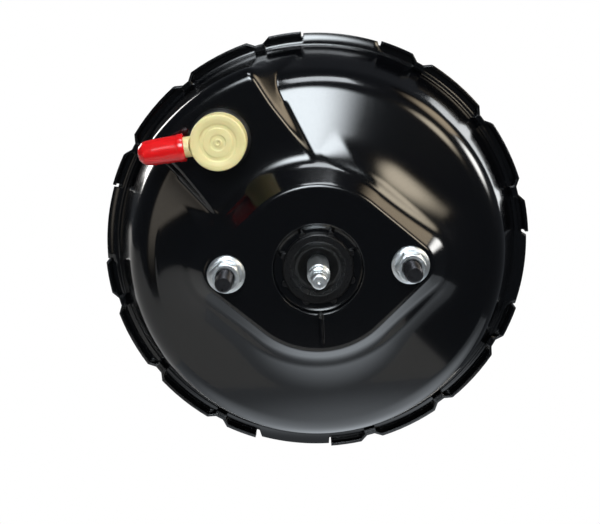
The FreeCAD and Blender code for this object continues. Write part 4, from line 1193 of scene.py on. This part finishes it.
@dataclass(frozen=True)
class CoilSizes:
    """A coil spring along Y, in millimetres, with its closed turns flat at each end."""

    name: str
    node: str
    radius: float
    wire: float
    start: float
    end: float
    coils: float
    joint: str
    anchor: float
    travel: float
    body: Body
    centre: tuple = (0.0, 0.0)
    closed: float = 0.6


class Coil:
    """Round-wire spring with closed ends."""

    def __init__(self, sizes: CoilSizes) -> None:
        """Keeps the sizes."""
        self.sizes = sizes

    def build(self, wardrobe: Wardrobe, steps: int = 44, sides: int = 10) -> bpy.types.Object:
        """Sweeps a round wire along the coil.

        The wire's centre is (R cos a, y(a), R sin a), with y flat over the closed turns.

        Args:
            wardrobe: The finishes to dress it with.
            steps: Rings of points in each turn.
            sides: Number of points round each ring.

        Returns:
            The spring's object.
        """
        s = self.sizes
        count = int(s.coils * steps)
        t = np.linspace(0, 1, count)
        a = t * s.coils * TAU
        low, high = s.start + s.wire / 2, s.end - s.wire / 2
        ease = np.clip((t * s.coils - s.closed) / (s.coils - 2 * s.closed), 0, 1)
        y = low + (high - low) * ease
        centre = np.stack([s.radius * np.cos(a), y, s.radius * np.sin(a)], -1)
        outward = np.stack([np.cos(a), np.zeros_like(a), np.sin(a)], -1)
        ahead = np.gradient(centre, axis=0)
        ahead /= np.linalg.norm(ahead, axis=1, keepdims=True)
        side = np.cross(ahead, outward)
        b = np.arange(sides) * TAU / sides
        reach = s.wire / 2
        cos, sin = np.cos(b)[None, :, None], np.sin(b)[None, :, None]
        points = centre[:, None] + reach * (outward[:, None] * cos + side[:, None] * sin)
        faces = grid_faces(count, sides).tolist()
        faces.append(list(range(sides)))
        faces.append(list(range((count - 1) * sides, count * sides))[::-1])
        flat = points.reshape(-1, 3) + np.array([s.centre[0], 0, s.centre[1]])
        piece = make_piece(s.name, flat, faces, sharp=60)
        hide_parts(s.node)
        wardrobe.dress(piece, Slot.SPRING_STEEL)
        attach(piece, s.body.value)
        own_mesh(piece)
        return piece


# Studio

FLOOR_COLOR = (0.5, 0.49, 0.48, 1)
FLOOR_ROUGHNESS = 0.9
DIM_COLOR = (0.8, 0.88, 1.0, 1)
DIM_STRENGTH = 0.06
FADE_END = 0.75          # share of the way to a card's middle where its glow is full


@dataclass(frozen=True)
class Softbox:
    """An area light aimed at the booster's middle."""

    name: str
    place: tuple
    size: tuple
    power: float
    color: tuple
    target: tuple = (0.0, -0.05, 0.0)

    def build(self) -> bpy.types.Object:
        """Adds the light to the scene.

        Returns:
            The light's object.
        """
        data = bpy.data.lights.new(self.name, "AREA")
        data.shape = "RECTANGLE"
        data.size, data.size_y = self.size
        data.energy = self.power
        data.color = self.color
        lamp = bpy.data.objects.new(self.name, data)
        lamp.location = self.place
        direction = Vector(self.target) - Vector(self.place)
        lamp.rotation_euler = direction.to_track_quat("-Z", "Y").to_euler()
        bpy.context.scene.collection.objects.link(lamp)
        return lamp


SOFTBOXES = (
    Softbox("top_light", (0.1, -0.5, 1.3), (0.6, 0.4), 7.0, (0.9, 0.95, 1.0)),
    Softbox("rear_left_light", (-1.0, 1.0, 0.55), (0.5, 0.7), 9.0, (1.0, 0.98, 0.95)),
    Softbox("rear_right_light", (0.9, 1.1, 0.3), (0.4, 0.8), 2.5, (0.95, 0.98, 1.0)),
)


@dataclass(frozen=True)
class GlowCard:
    """A card that glows on the booster, bright in its middle and fading out to its edge.

    Args:
        name: Object and material name.
        place: Middle of the card, in metres.
        half: Half its width and half its height, in metres.
        strength: Emission in the middle.
        color: Emission colour, linear RGB.
        target: Point that the card faces.
        rest: Emission at the card's edge.
    """

    name: str
    place: tuple
    half: tuple
    strength: float
    color: tuple
    target: tuple = (0.0, -0.09, 0.0)
    rest: float = 0.0

    def material(self) -> bpy.types.Material:
        """Glow that falls smoothly from the card's middle to its resting level.

        Returns:
            The material.
        """
        material = bpy.data.materials.new(self.name)
        material.use_nodes = True
        tree = material.node_tree
        tree.nodes.remove(tree.nodes["Principled BSDF"])
        coords = tree.nodes.new("ShaderNodeTexCoord")
        mapping = tree.nodes.new("ShaderNodeMapping")
        mapping.inputs["Scale"].default_value = (1 / self.half[0], 1 / self.half[1], 1.0)
        gradient = tree.nodes.new("ShaderNodeTexGradient")
        gradient.gradient_type = "SPHERICAL"
        fade = tree.nodes.new("ShaderNodeMapRange")
        fade.interpolation_type = "SMOOTHSTEP"
        fade.inputs["From Max"].default_value = FADE_END
        fade.inputs["To Min"].default_value = self.rest
        fade.inputs["To Max"].default_value = self.strength
        glow = tree.nodes.new("ShaderNodeEmission")
        glow.inputs["Color"].default_value = (*self.color, 1)
        tree.links.new(coords.outputs["Object"], mapping.inputs["Vector"])
        tree.links.new(mapping.outputs["Vector"], gradient.inputs["Vector"])
        tree.links.new(gradient.outputs["Fac"], fade.inputs["Value"])
        tree.links.new(fade.outputs["Result"], glow.inputs["Strength"])
        tree.links.new(glow.outputs["Emission"], tree.nodes["Material Output"].inputs["Surface"])
        return material

    def build(self) -> bpy.types.Object:
        """Adds the card, unseen by the camera itself.

        Returns:
            The card's object.
        """
        half = np.array([*self.half, 0]) / MM
        corners = np.array([(-1, -1, 0), (1, -1, 0), (1, 1, 0), (-1, 1, 0)]) * half
        card = make_piece(self.name, corners, [[0, 1, 2, 3]])
        card.data.materials.append(self.material())
        card.location = self.place
        direction = Vector(self.target) - Vector(self.place)
        card.rotation_euler = direction.to_track_quat("-Z", "Y").to_euler()
        card.visible_camera = False
        return card


GLOW_CARDS = (
    GlowCard("top_card", (-0.05, -1.1, 0.62), (0.38, 0.34), 18.5, (0.88, 0.95, 1.0),
             target=(0.0, -0.09, 0.06)),
    GlowCard("crease_card", (0.68, -0.68, 0.48), (0.24, 0.24), 8.0, (1.0, 0.88, 0.68)),
    GlowCard("golden_card", (0.78, 0.0, 0.62), (0.34, 0.34), 4.0, (1.0, 0.82, 0.58)),
    GlowCard("white_card", (0.93, -0.05, 0.33), (0.23, 0.23), 15.0, (1.0, 0.99, 0.96)),
    GlowCard("beige_card", (-0.78, -1.0, 0.06), (0.16, 0.4), 1.1, (1.0, 0.9, 0.76)),
    GlowCard("under_card", (0.03, -0.088, -0.1075), (0.16, 0.042), 1.7, (0.86, 0.93, 1.0),
             target=(0.03, -0.088, 0.0), rest=0.42),
)


@dataclass(frozen=True)
class CameraFit:
    """The photo's camera: angles in degrees, place in metres, lens and sensor in millimetres."""

    azimuth: float = 0.70
    elevation: float = 12.26
    roll: float = -3.06
    place: tuple = (-0.0019, -0.6265, 0.1174)
    lens: float = 69.11
    sensor: float = 36.0
    near: float = 0.01


class Studio:
    """Floor, backdrop, lights, world and camera."""

    def __init__(self, camera: CameraFit = CameraFit(), lights: tuple = SOFTBOXES + GLOW_CARDS,
                 floor_z: float = -108.5) -> None:
        """Keeps the camera, the lights and the floor's height in millimetres."""
        self.fit, self.lights, self.floor_z = camera, lights, floor_z

    def floor_material(self) -> bpy.types.Material:
        """Pale matt surface that camera rays see as plain white.

        Returns:
            The material.
        """
        material = bpy.data.materials.new("studio_floor")
        material.use_nodes = True
        tree = material.node_tree
        shader = tree.nodes["Principled BSDF"]
        shader.inputs["Base Color"].default_value = FLOOR_COLOR
        shader.inputs["Roughness"].default_value = FLOOR_ROUGHNESS
        glow = tree.nodes.new("ShaderNodeEmission")
        glow.inputs["Color"].default_value = WHITE
        glow.inputs["Strength"].default_value = 1.0
        path = tree.nodes.new("ShaderNodeLightPath")
        mix = tree.nodes.new("ShaderNodeMixShader")
        out = tree.nodes["Material Output"]
        tree.links.new(path.outputs["Is Camera Ray"], mix.inputs["Fac"])
        tree.links.new(shader.outputs["BSDF"], mix.inputs[1])
        tree.links.new(glow.outputs["Emission"], mix.inputs[2])
        tree.links.new(mix.outputs["Shader"], out.inputs["Surface"])
        return material

    def floor(self) -> bpy.types.Object:
        """A sheet under the booster, ending close before it and on its right.

        Returns:
            The sheet's object.
        """
        z, left, right, front, back = self.floor_z, -1200.0, 100.0, -300.0, 2000.0
        points = np.array([(left, front, z), (right, front, z), (right, back, z), (left, back, z)])
        sheet = make_piece("studio_floor_sheet", points, [[0, 1, 2, 3]])
        sheet.data.materials.append(self.floor_material())
        return sheet

    def world(self) -> None:
        """White to the camera and a dim grey to everything else."""
        world = bpy.data.worlds.new("studio_world")
        bpy.context.scene.world = world
        world.use_nodes = True
        tree = world.node_tree
        dim = tree.nodes["Background"]
        dim.inputs["Color"].default_value = DIM_COLOR
        dim.inputs["Strength"].default_value = DIM_STRENGTH
        white = tree.nodes.new("ShaderNodeBackground")
        white.inputs["Color"].default_value = WHITE
        white.inputs["Strength"].default_value = 1.0
        path = tree.nodes.new("ShaderNodeLightPath")
        mix = tree.nodes.new("ShaderNodeMixShader")
        tree.links.new(path.outputs["Is Camera Ray"], mix.inputs["Fac"])
        tree.links.new(dim.outputs["Background"], mix.inputs[1])
        tree.links.new(white.outputs["Background"], mix.inputs[2])
        tree.links.new(mix.outputs["Shader"], tree.nodes["World Output"].inputs["Surface"])

    def camera(self) -> None:
        """Puts the camera where the photo's was, with its lens and roll."""
        fit = self.fit
        az, el, roll = (math.radians(v) for v in (fit.azimuth, fit.elevation, fit.roll))
        back = Vector((math.sin(az) * math.cos(el), -math.cos(az) * math.cos(el), math.sin(el)))
        right = (-back).cross(Vector((0, 0, 1))).normalized()
        up = right.cross(-back)
        turned_right = right * math.cos(roll) + up * math.sin(roll)
        turned_up = -right * math.sin(roll) + up * math.cos(roll)
        matrix = Matrix((turned_right, turned_up, back)).transposed().to_4x4()
        matrix.translation = Vector(fit.place)
        data = bpy.data.cameras.new("photo_camera")
        data.sensor_width = fit.sensor
        data.lens = fit.lens
        data.clip_start = fit.near
        camera = bpy.data.objects.new("photo_camera", data)
        camera.matrix_world = matrix
        bpy.context.scene.collection.objects.link(camera)
        bpy.context.scene.camera = camera

    def build(self) -> None:
        """Sets up everything round the booster."""
        self.floor()
        self.world()
        self.camera()
        for light in self.lights:
            light.build()
        bpy.context.scene.view_settings.view_transform = "Standard"


def stud_sets() -> list[StudSet]:
    """The studs of the mounting face and of the firewall.

    Returns:
        One set for each face.
    """
    front = StudSizes(places=((-STUD_X, 0.0), (STUD_X, 0.0)), plane=101.0, seat=103.5,
                      length=22.48, direction=-1.0)
    corners = tuple((x, z) for x in (-FIREWALL_X, FIREWALL_X) for z in (-FIREWALL_Z, FIREWALL_Z))
    rear = StudSizes(places=corners, plane=-4.0, seat=0.0, length=23.98, direction=1.0)
    return [StudSet("mounting_stud_threads", "master_cylinder_studs", front),
            StudSet("firewall_stud_threads", "firewall_studs", rear)]


def coils(valve_centre: np.ndarray) -> list[CoilSizes]:
    """The coil springs.

    Args:
        valve_centre: Middle of the check valve, in millimetres.

    Returns:
        Sizes of each spring.
    """
    x, z = float(valve_centre[0]), float(valve_centre[2])
    return [
        CoilSizes("return_coil", "return_spring", radius=31.5, wire=3.5, start=-100.98,
                  end=-11.72, coils=5, joint="piston_slide", anchor=-100.98,
                  travel=PISTON_TRAVEL, body=Body.HOUSING),
        CoilSizes("rod_coil", "rod_return_spring", radius=10.1, wire=1.35, start=13.32,
                  end=21.98, coils=4, joint="air_valve_slide", anchor=13.32, travel=2.0,
                  body=Body.PISTON),
        CoilSizes("flap_coil", "check_valve_spring", radius=4.2, wire=0.58, start=-107.78,
                  end=-100.62, coils=3, joint="check_flap_lift", anchor=-107.78, travel=1.2,
                  body=Body.CHECK_VALVE, centre=(x, z)),
    ]


def main(loaded: dict) -> None:
    """Builds the looks round the frame, in order, and reports each step.

    Args:
        loaded: The loaded model: its nodes and its record.
    """
    logging.basicConfig(level=logging.INFO, format="%(name)s: %(message)s")
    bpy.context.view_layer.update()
    wardrobe = Wardrobe()
    wardrobe.dress_frame(loaded)
    LOG.info("dressed %d nodes", len(loaded["nodes"]))
    shell = FrontShell().build(wardrobe)
    LOG.info("front shell with %d faces", len(shell.data.polygons))
    for studs in stud_sets():
        studs.build(wardrobe)
    nuts = NutSet().build(wardrobe)
    LOG.info("nuts with %d faces", len(nuts.data.polygons))
    valve = CheckValve()
    pieces = valve.build(wardrobe)
    LOG.info("check valve pieces: %s", [piece.name for piece in pieces])
    DustBoot().build(wardrobe)
    for sizes in coils(valve.centre):
        Coil(sizes).build(wardrobe)
    Studio().build()
    LOG.info("scene ready")


if __name__ == "__main__":
    main(frame)
